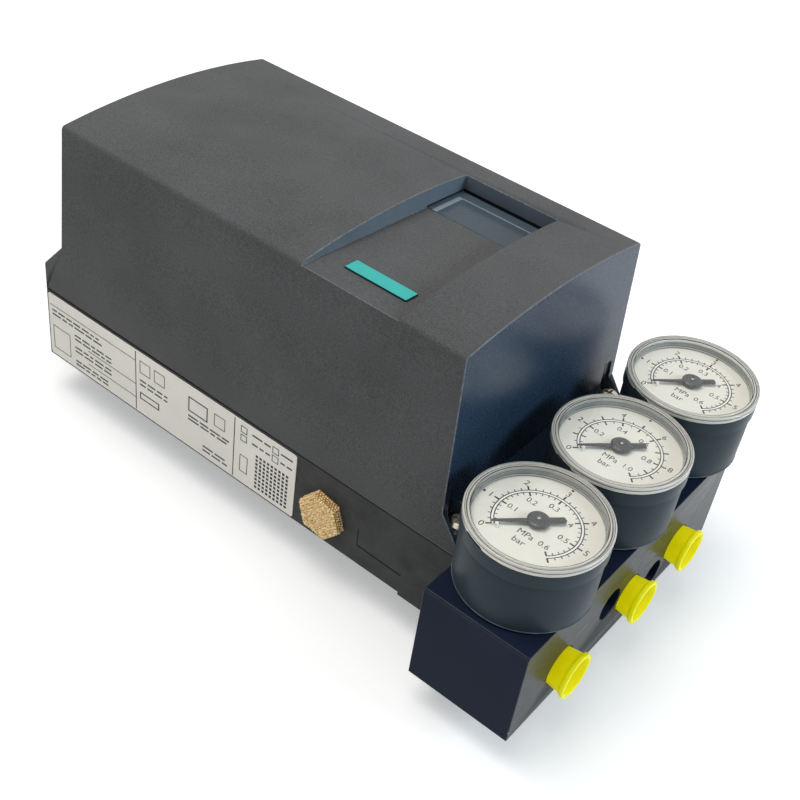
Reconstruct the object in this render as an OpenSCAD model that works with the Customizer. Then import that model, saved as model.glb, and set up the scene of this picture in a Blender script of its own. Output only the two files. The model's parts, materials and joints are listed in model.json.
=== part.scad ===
// Electro-pneumatic valve positioner with a three-gauge block.
// Origin: the feedback shaft's axis on the mounting face. +Z points from that face to the
// front, +X to the gauge block, and -Y to the side that carries the rating label.

/* [Base] */
// Length of the base
base_l = 184.5; // [176:0.5:210]
// Width of the base
base_w = 95; // [92:0.5:115]
// Height of the base from the mounting face to the seam
base_h = 28; // [27:0.5:36]
// Wall of the base
base_wall = 3.5; // [3:0.1:4.5]
// Floor of the base
base_floor = 5; // [4:0.1:7]
// Corner radius of the base in plan
base_corner_r = 1.5; // [0.5:0.1:3]
// End wall that carries the air ports
port_wall = 14; // [13:0.5:18]
// Length of the pad under the port end
pad_l = 20; // [10:0.5:30]
// Thickness of that pad
pad_t = 1.2; // [0.5:0.1:2]
// Spacing of the bracket holes, along X and Y
bracket_pitch = 50; // [44:1:52]
// Depth of the bracket holes
bracket_depth = 10; // [8:0.5:12]

/* [Cover] */
// Height of the crown of the cover above the mounting face
crown_h = 97.4; // [92:0.1:110]
// Radius of the arched top
arch_r = 283; // [220:1:600]
// Place of the crown across the cover
crown_y = -8.7; // [-20:0.1:0]
// Wall of the cover
cover_wall = 2.8; // [2:0.1:3.4]
// Open seam between base and cover
seam_gap = 0.5; // [0.3:0.1:1]
// How far each long side leans in by the top
side_draft = 1.6; // [0.5:0.1:3]
// How far each end leans in by the top
end_draft = 2.6; // [1:0.1:4]
// Height of the upright skirt at the cable end
skirt_h = 9.4; // [7:0.1:12]
// Length of the sloped shoulder at the cable end
shoulder_l = 9.7; // [8:0.1:12]
// Rise of the sloped shoulder at the cable end
shoulder_rise = 11; // [8:0.1:14]
// Rise of the sloped shoulder at the gauge end
gauge_shoulder_rise = 8.4; // [6:0.1:9]
// Rounding of the top edges
edge_r = 1.5; // [0.5:0.1:3]
// Radius of a cover screw's head
screw_head_r = 3.3; // [2.8:0.1:3.6]

/* [Display] */
// Length of the display recess
recess_l = 35.5; // [33:0.5:40]
// Distance from the port end of the base to the recess
recess_inset = 35.2; // [33:0.5:45]
// Place of the far wall of the recess across the cover
recess_far_y = 32.6; // [31:0.1:36]
// Depth of the recess at its far wall
recess_depth = 5.4; // [3:0.1:6]
// Height of the recess floor below the crown, at the near edge
recess_near_drop = 3.1; // [2.4:0.1:4]
// Width of the window across the cover
window_w = 20; // [19:0.1:24]
// Thickness of the window
window_t = 2; // [1.5:0.1:3]
// Length of the badge plate
badge_l = 22.5; // [15:0.1:26]
// Width of the badge plate
badge_w = 5.8; // [4:0.1:10]
// Thickness of the badge plate
badge_t = 1; // [0.5:0.1:1.5]

/* [Label and silencer] */
// Length of the rating label
label_l = 118.5; // [80:0.5:125]
// Height of the rating label
label_h = 26.4; // [20:0.1:27]
// Thickness of the rating label
label_t = 0.3; // [0.2:0.05:0.6]
// Gap between the rating label and the silencer
silencer_gap = 4.2; // [2:0.1:8]
// Height of the silencer above the mounting face
silencer_z = 12.2; // [10:0.1:16]
// Width across flats of the silencer
silencer_af = 15.1; // [12:0.1:18]
// How far the silencer stands out
silencer_proud = 3.8; // [2:0.1:8]
// Turn of the silencer where its thread is tight, in degrees
silencer_turn = -11.5; // [-30:0.5:30]

/* [Gauge block] */
// Depth of the block along X
block_d = 35.5; // [33:0.5:44]
// Length of the block from the middle to its near end
block_near = 66.6; // [64:0.1:75]
// Length of the block from the middle to its far end
block_far = 52; // [48:0.1:60]
// Height of the block's top above the mounting face
block_top = 32.8; // [32:0.1:36]
// How far the block reaches below the mounting face
block_below = 3.4; // [2:0.1:6]
// Chamfer of the block's edges
block_chamfer = 0.5; // [0.2:0.1:1]
// Radius of an air port
port_r = 6.58; // [6.2:0.02:7]
// Height of the air ports
port_z = 9.5; // [9:0.1:12]
// Distance from the block's near end to the first air port
port_1_inset = 23.3; // [21:0.1:26]
// Place of the middle air port across the block
port_2_y = -4.6; // [-6:0.1:-3]
// Place of the last air port across the block
port_3_y = 25.8; // [24:0.1:29]
// Radius of a block screw's shank
bolt_r = 3; // [2.5:0.1:3.2]
// Radius of a block screw's counterbore
bolt_sink_r = 5.5; // [5:0.1:6]
// Distance across the block from the middle port to the near block screw
bolt_near_dy = 12.7; // [12.5:0.1:15]
// Distance across the block from the middle port to the far block screw
bolt_far_dy = 17; // [16:0.1:18]
// Height from the middle port to each block screw, up at the near one and down at the far one
bolt_dz = 5.1; // [5:0.1:5.6]
// How far a port cap stands out
cap_proud = 6; // [4:0.1:9]
// Radius of a port cap's rim
cap_rim_r = 7.5; // [7:0.1:9]

/* [Gauges] */
// Radius of a gauge case
case_r = 20.5; // [19.5:0.1:22]
// Height of a gauge case up to the lens
case_h = 18.2; // [15.5:0.1:20]
// Gap between the block and a gauge case
case_lift = 0.7; // [0.5:0.1:3]
// How far the lens stands out past the case
lens_lip = 0.55; // [0.3:0.05:1]
// Height of the lens
lens_h = 6.8; // [6.6:0.1:9]
// Free space between neighbouring gauges
gauge_gap = 1.7; // [1:0.1:5]
// Length of a pointer from its hub to its tip
pointer_l = 13.3; // [12.5:0.1:14]
// Length of a pointer's tail
pointer_tail = 7.6; // [5:0.1:9]
// Sweep of a pointer
pointer_sweep = 270; // [250:5:280]

/* [Feedback] */
// Radius of the feedback shaft
shaft_r = 4; // [3.5:0.1:4.5]
// How far the shaft stands out of the mounting face
shaft_proud = 15; // [12:0.5:25]
// Depth of the flat on the shaft
shaft_flat = 0.5; // [0.3:0.1:0.7]
// Tooth module of the feedback gears
gear_m = 1; // [0.9:0.05:1.1]
// Teeth of the drive gear
drive_teeth = 48; // [42:1:50]
// Teeth of the potentiometer gear
pot_teeth = 16; // [14:2:18]
// Thickness of the feedback gears
gear_t = 4; // [3:0.1:5]

/* [Electronics and pneumatics] */
// Thickness of the circuit board
board_t = 1.6; // [1:0.1:2]
// Length of the circuit board
board_l = 124; // [112:1:138]
// How far the circuit board reaches past the display
board_reach = 4.45; // [4:0.05:6]
// Width of the circuit board
board_w = 76; // [70:1:80]
// Height of the display module
lcd_h = 8; // [6:0.1:9]
// Radius of a push button
button_r = 3.5; // [3:0.1:4]
// Travel of a push button
button_travel = 0.8; // [0.4:0.1:1]
// Length of the pneumatic block
pneu_l = 46; // [42:0.5:47]
// Width of the pneumatic block
pneu_w = 80; // [78:0.5:84]
// Height of the pneumatic block
pneu_h = 40; // [34:0.5:46]

/* [Cable entry] */
// Radius of the cable entry thread
gland_r = 9.9; // [9:0.1:10.5]
// Width across flats of the gland body
gland_af = 24; // [22:0.5:25]
// Distance of each cable entry from the middle
gland_y = 20; // [17:0.5:26]
// Height of the cable entries
gland_z = 14; // [13.5:0.1:15]
// Radius of the cable hole
cable_r = 4.5; // [3:0.1:5]

/* [Hidden] */
$fn = 64;
// Play of a turning piece in its bearing
play = 0.05;
// Free space between pieces that move past each other
gap = 0.3;
// Overrun of a cut past the face it opens
cut = 1;

half_l = base_l / 2;
half_w = base_w / 2;
cover_z = base_h + seam_gap;
top_half_w = half_w - side_draft;

// Gauges stand on the middle of the block, side by side
lens_r = case_r + lens_lip;
gauge_x = half_l + block_d / 2;
gauge_pitch = 2 * lens_r + gauge_gap;
gauge_z = block_top + case_lift;
gauge_y = [-gauge_pitch, 0, gauge_pitch];
case_top = gauge_z + case_h;
case_wall = 2.7;
case_floor = 2.2;
neck_r = case_r - 1.15;
stem_r = 4.86;
stem_depth = 9;

// Gauge end of the cover stays clear of the gauge cases
gauge_clear = 0.9;
ledge_l = case_r - block_d / 2 + gauge_clear;
ledge_z = block_top - 0.2;
shoulder_foot_l = ledge_l + 6.2;

// Display recess: its floor is a plane that tilts down to the far wall
recess_x1 = half_l - recess_inset;
recess_x0 = recess_x1 - recess_l;
recess_near_z = crown_h - recess_near_drop;
recess_far_z = arch_z(recess_far_y) - recess_depth;
recess_tilt = atan2(recess_far_z - recess_near_z, recess_far_y + top_half_w);
window_lip = 3;
window_ledge = 1.5;
recess_slab = window_t + window_ledge;
window_play = 0.25;
badge_x = 8.2;
badge_y = 9.2;

// Cover screws: two at each end
pan_h = 2.6;
screw_r = 1.95;
screw_bite = 14;
screw_pocket = 0.6;
screw_boss_r = 5.2;
screw_y = half_w - screw_boss_r - 0.3;
gauge_screw = [half_l - ledge_l - screw_head_r, cover_z + 6.3];
cable_screw = [-half_l + screw_boss_r, cover_z + skirt_h + 0.5];
cover_screw_seats = [for (s = [gauge_screw, cable_screw], side = [-1, 1]) [s[0], side * screw_y, s[1]]];

// Gasket in the seam
gasket_w = 1.5;
gasket_inset = 1;
gasket_sink = 1;

// Shaft bearing
bush_r = shaft_r + 2;
bush_flange_t = 1.5;
boss_r = bush_r + 4;
boss_h = 16;
ring_t = 1;
ring_r = shaft_r + 2.2;
ring_sink = 2;
ring_groove = 0.6;
gear_z = boss_h + bush_flange_t + 0.2;
clutch_r = 12;
clutch_h = 8;
shaft_top = gear_z + gear_t + clutch_h + 1;
bracket_hole_r = 2.5;
bracket_boss_r = 5.5;

// Feedback gears
gear_pa = 25;
gear_add = 0.8;
gear_ded = 1.05;
gear_backlash = 0.12;
drive_r = gear_m * drive_teeth / 2;
pot_gear_r = gear_m * pot_teeth / 2;
pot_x = -(drive_r + pot_gear_r);
pot_r = 10;
pot_spindle_r = 3;
pot_bite = 5;
pot_top = gear_z - 1;

// Electronics hang under the display window
lcd_x0 = recess_x0 + window_lip + 0.5;
lcd_x1 = recess_x1 - window_lip - 0.5;
lcd_y1 = recess_far_y - 1;
lcd_y0 = lcd_y1 - window_w + 1.5;
lcd_top = recess_far_z - recess_slab - 1.2;
board_top = lcd_top - lcd_h;
board_z = board_top - board_t;
board_x1 = lcd_x1 + board_reach;
board_x0 = board_x1 - board_l;
carrier_t = 2;
carrier_leg = 6;
leg_x = [board_x0 + carrier_leg / 2 + 1, bracket_pitch / 2];
leg_y = board_w / 2 - carrier_leg / 2;
board_screw_r = 1.25;
board_screw_l = 7;
board_screw_head_r = 2.5;
board_screw_head_h = 1.8;
module_wall = 1.5;
terminal_l = 12;
terminal_w = 60;
terminal_h = 10;
terminal_gap = 2;
terminal_x0 = board_x0 + carrier_leg + terminal_gap;
terminal_hole_r = 2;
terminal_hole_h = 4;
wire_hole_r = 1.6;
wire_hole_l = 7;
wire_hole_z = 3.5;
module_gap = 6;
module_x0 = terminal_x0 + terminal_l + module_gap;
module_x1 = board_x1 - 0.5;
module_w = board_w - 4;
button_y = lcd_y0 - 11;
button_pitch = 11;
button_x = (lcd_x0 + lcd_x1) / 2;
button_h = 4;
button_stem_r = 1.2;
switch_w = 6;
switch_h = 3.5;
module_h = switch_h + 0.5 + module_wall;
button_z = board_top + switch_h + button_travel + gap;

// Pneumatics against the port end wall
seal_t = 1;
pneu_x1 = half_l - port_wall - seal_t;
pneu_x0 = pneu_x1 - pneu_l;
pneu_top = base_floor + pneu_h;
air_r = 4;
port_1_y = port_1_inset - block_near;
port_y = [port_1_y, port_2_y, port_3_y];
air_1_shift = 9.3;
air_y = [port_1_y + air_1_shift, port_2_y, port_3_y];
air_depth = 12;
label_margin = 0.3;
label_x0 = -half_l + base_corner_r + label_margin;
label_x1 = label_x0 + label_l;
silencer_r = silencer_af / 2 / cos(30);
silencer_x = label_x1 + silencer_gap + silencer_r;
silencer_stub_r = 6;
valve_screw_r = 2;
valve_screw_bite = 2.5;
valve_screw_head_r = 3.5;
valve_screw_head_h = 4;
valve_screw_key = 3;
valve_screw_x = [pneu_x0 + 5, pneu_x1 - 17];
valve_screw_y = pneu_w / 2 - 4;
restrictor_r = 3;
restrictor_sink = 8;
restrictor_h = 10;
restrictor_slot_w = 0.8;
restrictor_slot_h = 1;
restrictor_at = [pneu_x1 - 7, pneu_w * 0.32];
valve_l = 20;
valve_w = 16;
valve_h = 9;
coil_r = 5;
coil_h = 3;

// Gauge block: ports, drillings and screws
port_depth = 22;
block_x1 = half_l + block_d;
oring_r = 0.9;
oring_mid_r = air_r + 2.2;
bolts = [[port_2_y - bolt_near_dy, port_z + bolt_dz], [port_2_y + bolt_far_dy, port_z - bolt_dz]];
bolt_sink = 10;
bolt_head_h = 6;
bolt_bite = 12;
channel_r = 3;
channel_plug_r = 5;
channel_plug_l = 8;
channel_key_r = 2.9;
channel_key_h = 4;
bolt_head_gap = 0.5;
bolt_key = 5;
cap_wall = 1.3;
cap_bite = 6;

// Gauge works, heights above the block
plate_r = 12.8;
plate_t = 1;
plate_z = gauge_z + 6.1;
plate_gap = 5;
arbor_r = 0.6;
movement_m = 0.2;
pinion_teeth = 12;
sector_teeth = 96;
pinion_r = movement_m * pinion_teeth / 2;
sector_r = movement_m * sector_teeth / 2;
movement_add = 0.7;
movement_ded = 1.1;
movement_backlash = 0.14;
sector_dir = 130;
sector_t = 1.5;
sector_z = plate_z + plate_t + 1.5;
sector_tail = 4;
sector_at = (pinion_r + sector_r) * [cos(sector_dir), sin(sector_dir)];
tail_at = sector_at + sector_tail * [cos(sector_dir + 90), sin(sector_dir + 90)];
tube_mid_r = case_r - 5.9;
tube_t = 1.6;
tube_h = 6;
tube_wall = 0.3;
tube_z = gauge_z + 4.1;
tube_root = 270;
tube_root_a = 8;
tube_turn = 250;
tube_tip_a = 5;
tip_dir = tube_root + tube_root_a / 2 + tube_turn + tube_tip_a / 2;
tip_at = tube_mid_r * [cos(tip_dir), sin(tip_dir)];
dial_r = case_r - 1.6;
dial_t = 0.6;
dial_z = case_top + 2.6;
dial_hole_r = 1.5;
hub_r = 3.2;
hub_z = dial_z + dial_t + 0.5;
hub_h = 1.6;
blade_t = 0.6;
blade_w = 2.2;
tip_w = 1;
stop_r = 0.45;
pointer_rest = 225;
stop_turn = 6.6;
stop_at = 11.8;

// Cable entries
gland_thread_l = base_wall + 6;
gland_flange = 6;
gland_neck_r = 9.4;
gland_neck_l = 7;
gland_bore_r = 7;
gland_seal_l = 9;
gland_nut_l = 12.5;
plug_head = 5;
plug_sink = 1.5;
plug_rim = 3;

// Height of the arched top at a place across the cover
function arch_z(y) = crown_h - arch_r + sqrt(arch_r * arch_r - (y - crown_y) * (y - crown_y));

function unit(v) = v / norm(v);

// Corner p between its neighbours a and b, rounded to radius r in steps
function round_corner(a, p, b, r, steps = 6) =
    let (u = unit(a - p), v = unit(b - p),
         half = acos(u * v) / 2,
         centre = p + unit(u + v) * r / sin(half),
         start = p + u * r / tan(half) - centre,
         turn = 180 - 2 * half,
         side = sign(cross(u, v)))
    [for (i = [0:steps])
        let (t = -side * turn * i / steps)
        centre + [start[0] * cos(t) - start[1] * sin(t), start[0] * sin(t) + start[1] * cos(t)]];

// Involute angle of a gear flank at pressure angle a
function involute(a) = tan(a) * 180 / PI - a;

// Half the angle of a tooth at radius r, on a gear of pitch radius rp
function tooth_half(r, rp, teeth, pa, backlash) =
    let (rb = rp * cos(pa))
    90 / teeth - backlash / rp * 180 / PI + involute(pa) - involute(acos(min(1, rb / r)));

// Outline of one tooth about angle at, from root to tip and back
function tooth(at, rp, teeth, m, pa, add, ded, backlash) =
    let (radii = [for (k = [0:4]) rp - ded * m + (ded + add) * m * k / 4],
         half = [for (r = radii) tooth_half(max(r, rp * cos(pa)), rp, teeth, pa, backlash)])
    concat(
        [for (k = [0:4]) radii[k] * [cos(at - half[k]), sin(at - half[k])]],
        [for (k = [4:-1:0]) radii[k] * [cos(at + half[k]), sin(at + half[k])]]);

// Outline of a whole spur gear with a tooth at angle 0
function gear_outline(teeth, m, pa, add, ded, backlash) =
    let (rp = m * teeth / 2)
    [for (i = [0:teeth - 1], p = tooth(360 * i / teeth, rp, teeth, m, pa, add, ded, backlash)) p];

module box(x, y, z) {
    translate([x[0], y[0], z[0]]) cube([x[1] - x[0], y[1] - y[0], z[1] - z[0]]);
}

module rod_x(x, at, r) {
    translate([x[0], at[0], at[1]]) rotate([0, 90, 0]) cylinder(r = r, h = x[1] - x[0]);
}

module rod_y(y, at, r) {
    translate([at[0], y[0], at[1]]) rotate([-90, 0, 0]) cylinder(r = r, h = y[1] - y[0]);
}

module rod_z(z, at, r) {
    translate([at[0], at[1], z[0]]) cylinder(r = r, h = z[1] - z[0]);
}

// Hexagonal prism along X with flats above and below
module hex_x(x, at, af) {
    translate([x[0], at[0], at[1]]) rotate([0, 90, 0]) rotate(90)
        cylinder(r = af / 2 / cos(30), h = x[1] - x[0], $fn = 6);
}

module rounded_plan(half_x, half_y, r) {
    square([2 * half_x, 2 * (half_y - r)], center = true);
    square([2 * (half_x - r), 2 * half_y], center = true);
    for (x = [-1, 1], y = [-1, 1]) translate([x * (half_x - r), y * (half_y - r)]) circle(r = r);
}

// Outline of the cover from the side, set in by a wall
module cover_side(inset) {
    far_top = crown_h + cut;
    drop = 0.4 * inset;
    shoulder_x = half_l - shoulder_l;
    foot_x = half_l - shoulder_foot_l;
    polygon([
        [-half_l + inset, cover_z - (inset > 0 ? cut : 0)],
        [-half_l + inset, cover_z + skirt_h - drop],
        [-shoulder_x + inset, cover_z + skirt_h + shoulder_rise - drop],
        [-shoulder_x + end_draft + inset, far_top],
        [foot_x - end_draft - inset, far_top],
        [foot_x - inset, ledge_z + gauge_shoulder_rise - drop],
        [half_l - ledge_l - inset, ledge_z - inset],
        [half_l - inset, ledge_z - inset],
        [half_l - inset, cover_z - (inset > 0 ? cut : 0)]]);
}

// Outline of the cover from the end, set in by a wall
module cover_end(inset) {
    low = [half_w - inset, cover_z - (inset > 0 ? cut : 0)];
    near = [-top_half_w + inset, arch_z(-top_half_w) - inset];
    far = [top_half_w - inset, arch_z(top_half_w) - inset];
    steps = 16;
    span = top_half_w - inset - 2 * edge_r;
    arch = [for (i = [0:steps]) let (y = -span + 2 * span * i / steps) [y, arch_z(y) - inset]];
    r = max(edge_r - inset, 0.2);
    polygon(concat(
        [[-low[0], low[1]]],
        round_corner([-low[0], low[1]], near, arch[0], r),
        arch,
        round_corner(arch[steps], far, low, r),
        [low]));
}

// Solid that fills the cover's outline, set in by a wall
module cover_form(inset) {
    intersection() {
        translate([0, half_w + cut, 0]) rotate([90, 0, 0])
            linear_extrude(base_w + 2 * cut) cover_side(inset);
        rotate([90, 0, 90]) translate([0, 0, -half_l - cut])
            linear_extrude(base_l + 2 * cut) cover_end(inset);
        linear_extrude(crown_h + cut) rounded_plan(half_l - inset, half_w - inset, base_corner_r);
    }
}

// Places a child on the tilted recess floor: X from the recess's cable side, Y from its near edge
module on_recess_floor() {
    translate([recess_x0, -top_half_w, recess_near_z]) rotate([recess_tilt, 0, 0]) children();
}

// Length of the recess floor along its slope
recess_w = (recess_far_y + top_half_w) / cos(recess_tilt);

module recess_space(margin, depth) {
    on_recess_floor()
        translate([-margin, -2 * cut, -depth])
            cube([recess_l + 2 * margin, recess_w + 2 * cut + margin, recess_depth + depth + 3 * cut]);
}

module base_housing() {
    color("#484a4b") difference() {
        union() {
            difference() {
                linear_extrude(base_h) rounded_plan(half_l, half_w, base_corner_r);
                box([-half_l + base_wall, half_l - port_wall],
                    [-half_w + base_wall, half_w - base_wall], [base_floor, base_h + cut]);
            }
            translate([0, 0, -pad_t]) linear_extrude(pad_t) intersection() {
                rounded_plan(half_l, half_w, base_corner_r);
                translate([half_l - pad_l, -half_w]) square([pad_l, base_w]);
            }
            rod_z([base_floor, boss_h], [0, 0], boss_r);
            for (x = [-1, 1], y = [-1, 1])
                rod_z([base_floor, bracket_depth + 3], [x, y] * bracket_pitch / 2, bracket_boss_r);
            intersection() {
                for (s = cover_screw_seats) rod_z([base_floor, base_h], s, screw_boss_r);
                linear_extrude(base_h) rounded_plan(half_l, half_w, base_corner_r);
            }
        }
        rod_z([-cut, boss_h + cut], [0, 0], bush_r);
        rod_z([-cut, ring_sink], [0, 0], ring_r + gap);
        for (x = [-1, 1], y = [-1, 1])
            rod_z([-cut, bracket_depth], [x, y] * bracket_pitch / 2, bracket_hole_r);
        for (s = cover_screw_seats)
            rod_z([s[2] - screw_bite - pan_h - play, base_h + cut], s, screw_r + play);
        for (y = air_y) rod_x([half_l - port_wall - cut, half_l + cut], [y, port_z], air_r);
        for (b = bolts) rod_x([half_l - bolt_bite - play, half_l + cut], b, bolt_r + play);
        for (y = [-gland_y, gland_y])
            rod_x([-half_l - cut, -half_l + gland_thread_l + cut], [y, gland_z], gland_r + play);
        rod_y([-half_w - cut, -half_w + base_wall + cut], [silencer_x, silencer_z], silencer_stub_r + play);
        for (x = valve_screw_x, y = [-1, 1])
            rod_z([base_floor - valve_screw_bite - gap, base_floor + cut], [x, y * valve_screw_y],
                valve_screw_r + play);
        gasket_ring([base_h - gasket_sink, base_h + cut]);
    }
}

module gasket_ring(z) {
    outer = gasket_inset;
    inner = gasket_inset + gasket_w;
    translate([0, 0, z[0]]) linear_extrude(z[1] - z[0]) difference() {
        rounded_plan(half_l - outer, half_w - outer, base_corner_r);
        rounded_plan(half_l - inner, half_w - inner, base_corner_r);
    }
}

module cover_gasket() {
    color("#1c1c1c") gasket_ring([base_h - gasket_sink, cover_z]);
}

module housing_cover() {
    color("#55585a") difference() {
        cover_form(0);
        difference() {
            cover_form(cover_wall);
            recess_space(cover_wall, recess_slab);
            for (s = cover_screw_seats) rod_z([cover_z - 2 * cut, s[2]], s, screw_boss_r);
        }
        recess_space(0, 0);
        for (s = cover_screw_seats) {
            rod_z([s[2], s[2] + pan_h + shoulder_rise], s, screw_head_r + screw_pocket);
            rod_z([cover_z - 2 * cut, s[2] + cut], s, screw_r + play);
        }
        on_recess_floor() {
            translate([0, recess_w - window_w, -window_t]) cube([recess_l, window_w, window_t + cut]);
            translate([window_lip, recess_w - window_w + window_lip, -recess_slab - cut])
                cube([recess_l - 2 * window_lip, window_w - 2 * window_lip, recess_slab + 2 * cut]);
        }
    }
}

// Pan-head screw with a cross recess; its seat is at the origin
module pan_screw(r, length, head_r, head_h) {
    slot_w = head_r / 4;
    slot_l = head_r * 1.2;
    difference() {
        union() {
            translate([0, 0, -length]) cylinder(r = r, h = length);
            cylinder(r = head_r, h = head_h * 0.6);
            translate([0, 0, head_h * 0.6]) cylinder(r1 = head_r, r2 = head_r * 0.7, h = head_h * 0.4);
        }
        for (a = [0, 90]) rotate(a)
            translate([-slot_l / 2, -slot_w / 2, head_h * 0.4]) cube([slot_l, slot_w, head_h]);
    }
}

module cover_screws() {
    color("#c9c9c6") for (s = cover_screw_seats)
        translate(s) pan_screw(screw_r, screw_bite, screw_head_r, pan_h);
}

module display_window() {
    color("#40484c", 0.6) on_recess_floor()
        translate([window_play, recess_w - window_w + window_play, -window_t])
            cube([recess_l - 2 * window_play, window_w - 2 * window_play, window_t]);
}

module badge_plate() {
    color("#35b8b0") on_recess_floor()
        translate([badge_x, badge_y, 0]) cube([badge_l, badge_w, badge_t]);
}

module rating_label() {
    z0 = (base_h - label_h) / 2;
    color("#c9c6be") box([label_x0, label_x1], [-half_w - label_t, -half_w], [z0, z0 + label_h]);
}

module silencer() {
    inner = -pneu_w / 2;
    color("#c9a35a") {
        rod_y([-half_w, inner], [silencer_x, silencer_z], silencer_stub_r);
        translate([silencer_x, -half_w, silencer_z]) rotate([90, 0, 0]) rotate(silencer_turn)
            cylinder(r = silencer_r, h = silencer_proud, $fn = 6);
    }
}

module feedback_shaft() {
    color("#b5b7b8") difference() {
        rod_z([-shaft_proud, shaft_top], [0, 0], shaft_r);
        box([shaft_r - shaft_flat, shaft_r + cut], [-shaft_r, shaft_r], [-shaft_proud - cut, -ring_sink]);
        translate([0, 0, ring_sink / 2 - ring_t / 2]) difference() {
            cylinder(r = shaft_r + cut, h = ring_t);
            translate([0, 0, -cut]) cylinder(r = shaft_r - ring_groove, h = ring_t + 2 * cut);
        }
    }
}

module shaft_bush() {
    color("#b08d57") difference() {
        union() {
            rod_z([ring_sink, boss_h], [0, 0], bush_r);
            rod_z([boss_h, boss_h + bush_flange_t], [0, 0], bush_r + 2);
        }
        rod_z([0, boss_h + bush_flange_t + cut], [0, 0], shaft_r + play);
    }
}

module shaft_ring() {
    opening = shaft_r - ring_groove;
    color("#8a8c8e") translate([0, 0, ring_sink / 2 - ring_t / 2]) difference() {
        cylinder(r = ring_r, h = ring_t);
        translate([0, 0, -cut]) cylinder(r = opening, h = ring_t + 2 * cut);
        translate([0, -opening, -cut]) cube([ring_r + cut, 2 * opening, ring_t + 2 * cut]);
    }
}

module drive_gear() {
    color("#e3ded0") translate([0, 0, gear_z]) difference() {
        linear_extrude(gear_t)
            polygon(gear_outline(drive_teeth, gear_m, gear_pa, gear_add, gear_ded, gear_backlash));
        translate([0, 0, -cut]) cylinder(r = shaft_r, h = gear_t + 2 * cut);
        for (a = [30:60:330]) rotate(a) translate([drive_r * 0.62, 0, -cut])
            cylinder(r = drive_r * 0.16, h = gear_t + 2 * cut);
    }
}

module clutch_wheel() {
    grips = 18;
    color("#2a2a2c") translate([0, 0, gear_z + gear_t]) difference() {
        cylinder(r = clutch_r, h = clutch_h);
        translate([0, 0, -cut]) cylinder(r = shaft_r, h = clutch_h + 2 * cut);
        for (i = [0:grips - 1]) rotate(360 * i / grips) translate([clutch_r + 0.6, 0, -cut])
            cylinder(r = 1.4, h = clutch_h + 2 * cut);
    }
}

module potentiometer() {
    color("#3b4a63") difference() {
        union() {
            rod_z([base_floor, pot_top - 2], [pot_x, 0], pot_r);
            rod_z([pot_top - 2, pot_top], [pot_x, 0], pot_spindle_r + 2);
        }
        rod_z([pot_top - pot_bite, pot_top + cut], [pot_x, 0], pot_spindle_r + play);
    }
}

module potentiometer_gear() {
    color("#e3ded0") translate([pot_x, 0, 0]) {
        translate([0, 0, gear_z]) linear_extrude(gear_t) rotate(180 / pot_teeth)
            polygon(gear_outline(pot_teeth, gear_m, gear_pa, gear_add, gear_ded, gear_backlash));
        rod_z([pot_top - pot_bite + gap, gear_z + gear_t], [0, 0], pot_spindle_r);
    }
}

module board_carrier() {
    z = [board_z - carrier_t, board_z];
    rim = carrier_leg;
    color("#2e3033") difference() {
        union() {
            box([board_x0, board_x1], [-board_w / 2, board_w / 2], z);
            for (x = leg_x, y = [-leg_y, leg_y])
                box([x - carrier_leg / 2, x + carrier_leg / 2], [y - carrier_leg / 2, y + carrier_leg / 2],
                    [base_floor, board_z - carrier_t]);
        }
        box([board_x0 + rim, board_x1 - rim], [-board_w / 2 + rim, board_w / 2 - rim],
            [z[0] - cut, z[1] + cut]);
        for (x = leg_x, y = [-leg_y, leg_y])
            rod_z([board_top - board_screw_l - gap, board_z + cut], [x, y], board_screw_r + play);
    }
}

module main_board() {
    color("#2f6b3a") difference() {
        box([board_x0, board_x1], [-board_w / 2, board_w / 2], [board_z, board_top]);
        for (x = leg_x, y = [-leg_y, leg_y])
            rod_z([board_z - cut, board_top + cut], [x, y], board_screw_r + play);
    }
}

module board_screws() {
    color("#c9c9c6") for (x = leg_x, y = [-leg_y, leg_y])
        translate([x, y, board_top])
            pan_screw(board_screw_r, board_screw_l, board_screw_head_r, board_screw_head_h);
}

module lcd_module() {
    glass = 1.2;
    rim = 1;
    color("#7f95a5") {
        box([lcd_x0, lcd_x1], [lcd_y0, lcd_y1], [board_top, lcd_top - glass]);
        box([lcd_x0 + rim, lcd_x1 - rim], [lcd_y0 + rim, lcd_y1 - rim], [lcd_top - glass, lcd_top]);
    }
}

module module_cover() {
    half = module_w / 2;
    notch = carrier_leg + 1;
    top = board_top + module_h;
    through = [board_top - cut, top + cut];
    color("#3a3d40") difference() {
        box([module_x0, module_x1], [-half, half], [board_top, top]);
        box([module_x0 + module_wall, module_x1 - module_wall], [-half + module_wall, half - module_wall],
            [board_top - cut, top - module_wall]);
        box([lcd_x0 - gap, lcd_x1 + gap], [lcd_y0 - gap, lcd_y1 + gap], through);
        for (i = [-1:1]) rod_z(through, [button_x + i * button_pitch, button_y], button_r + gap);
        for (y = [-leg_y, leg_y])
            box([leg_x[1] - notch / 2, leg_x[1] + notch / 2], [y - notch / 2, y + notch / 2], through);
    }
}

// Push button at a place along its row; its stem runs in the switch below it
module push_button(i) {
    at = [button_x + i * button_pitch, button_y];
    rod_z([button_z, button_z + button_h], at, button_r);
    rod_z([board_top + switch_h - 1, button_z], at, button_stem_r);
}

module button_mode() { color("#8f9498") push_button(-1); }
module button_up() { color("#8f9498") push_button(0); }
module button_down() { color("#8f9498") push_button(1); }

module button_switches() {
    half = switch_w / 2;
    color("#222222") for (i = [-1:1]) difference() {
        x = button_x + i * button_pitch;
        box([x - half, x + half], [button_y - half, button_y + half], [board_top, board_top + switch_h]);
        rod_z([board_top + switch_h - 1 - button_travel - gap, board_top + switch_h + cut], [x, button_y],
            button_stem_r + play);
    }
}

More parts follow.
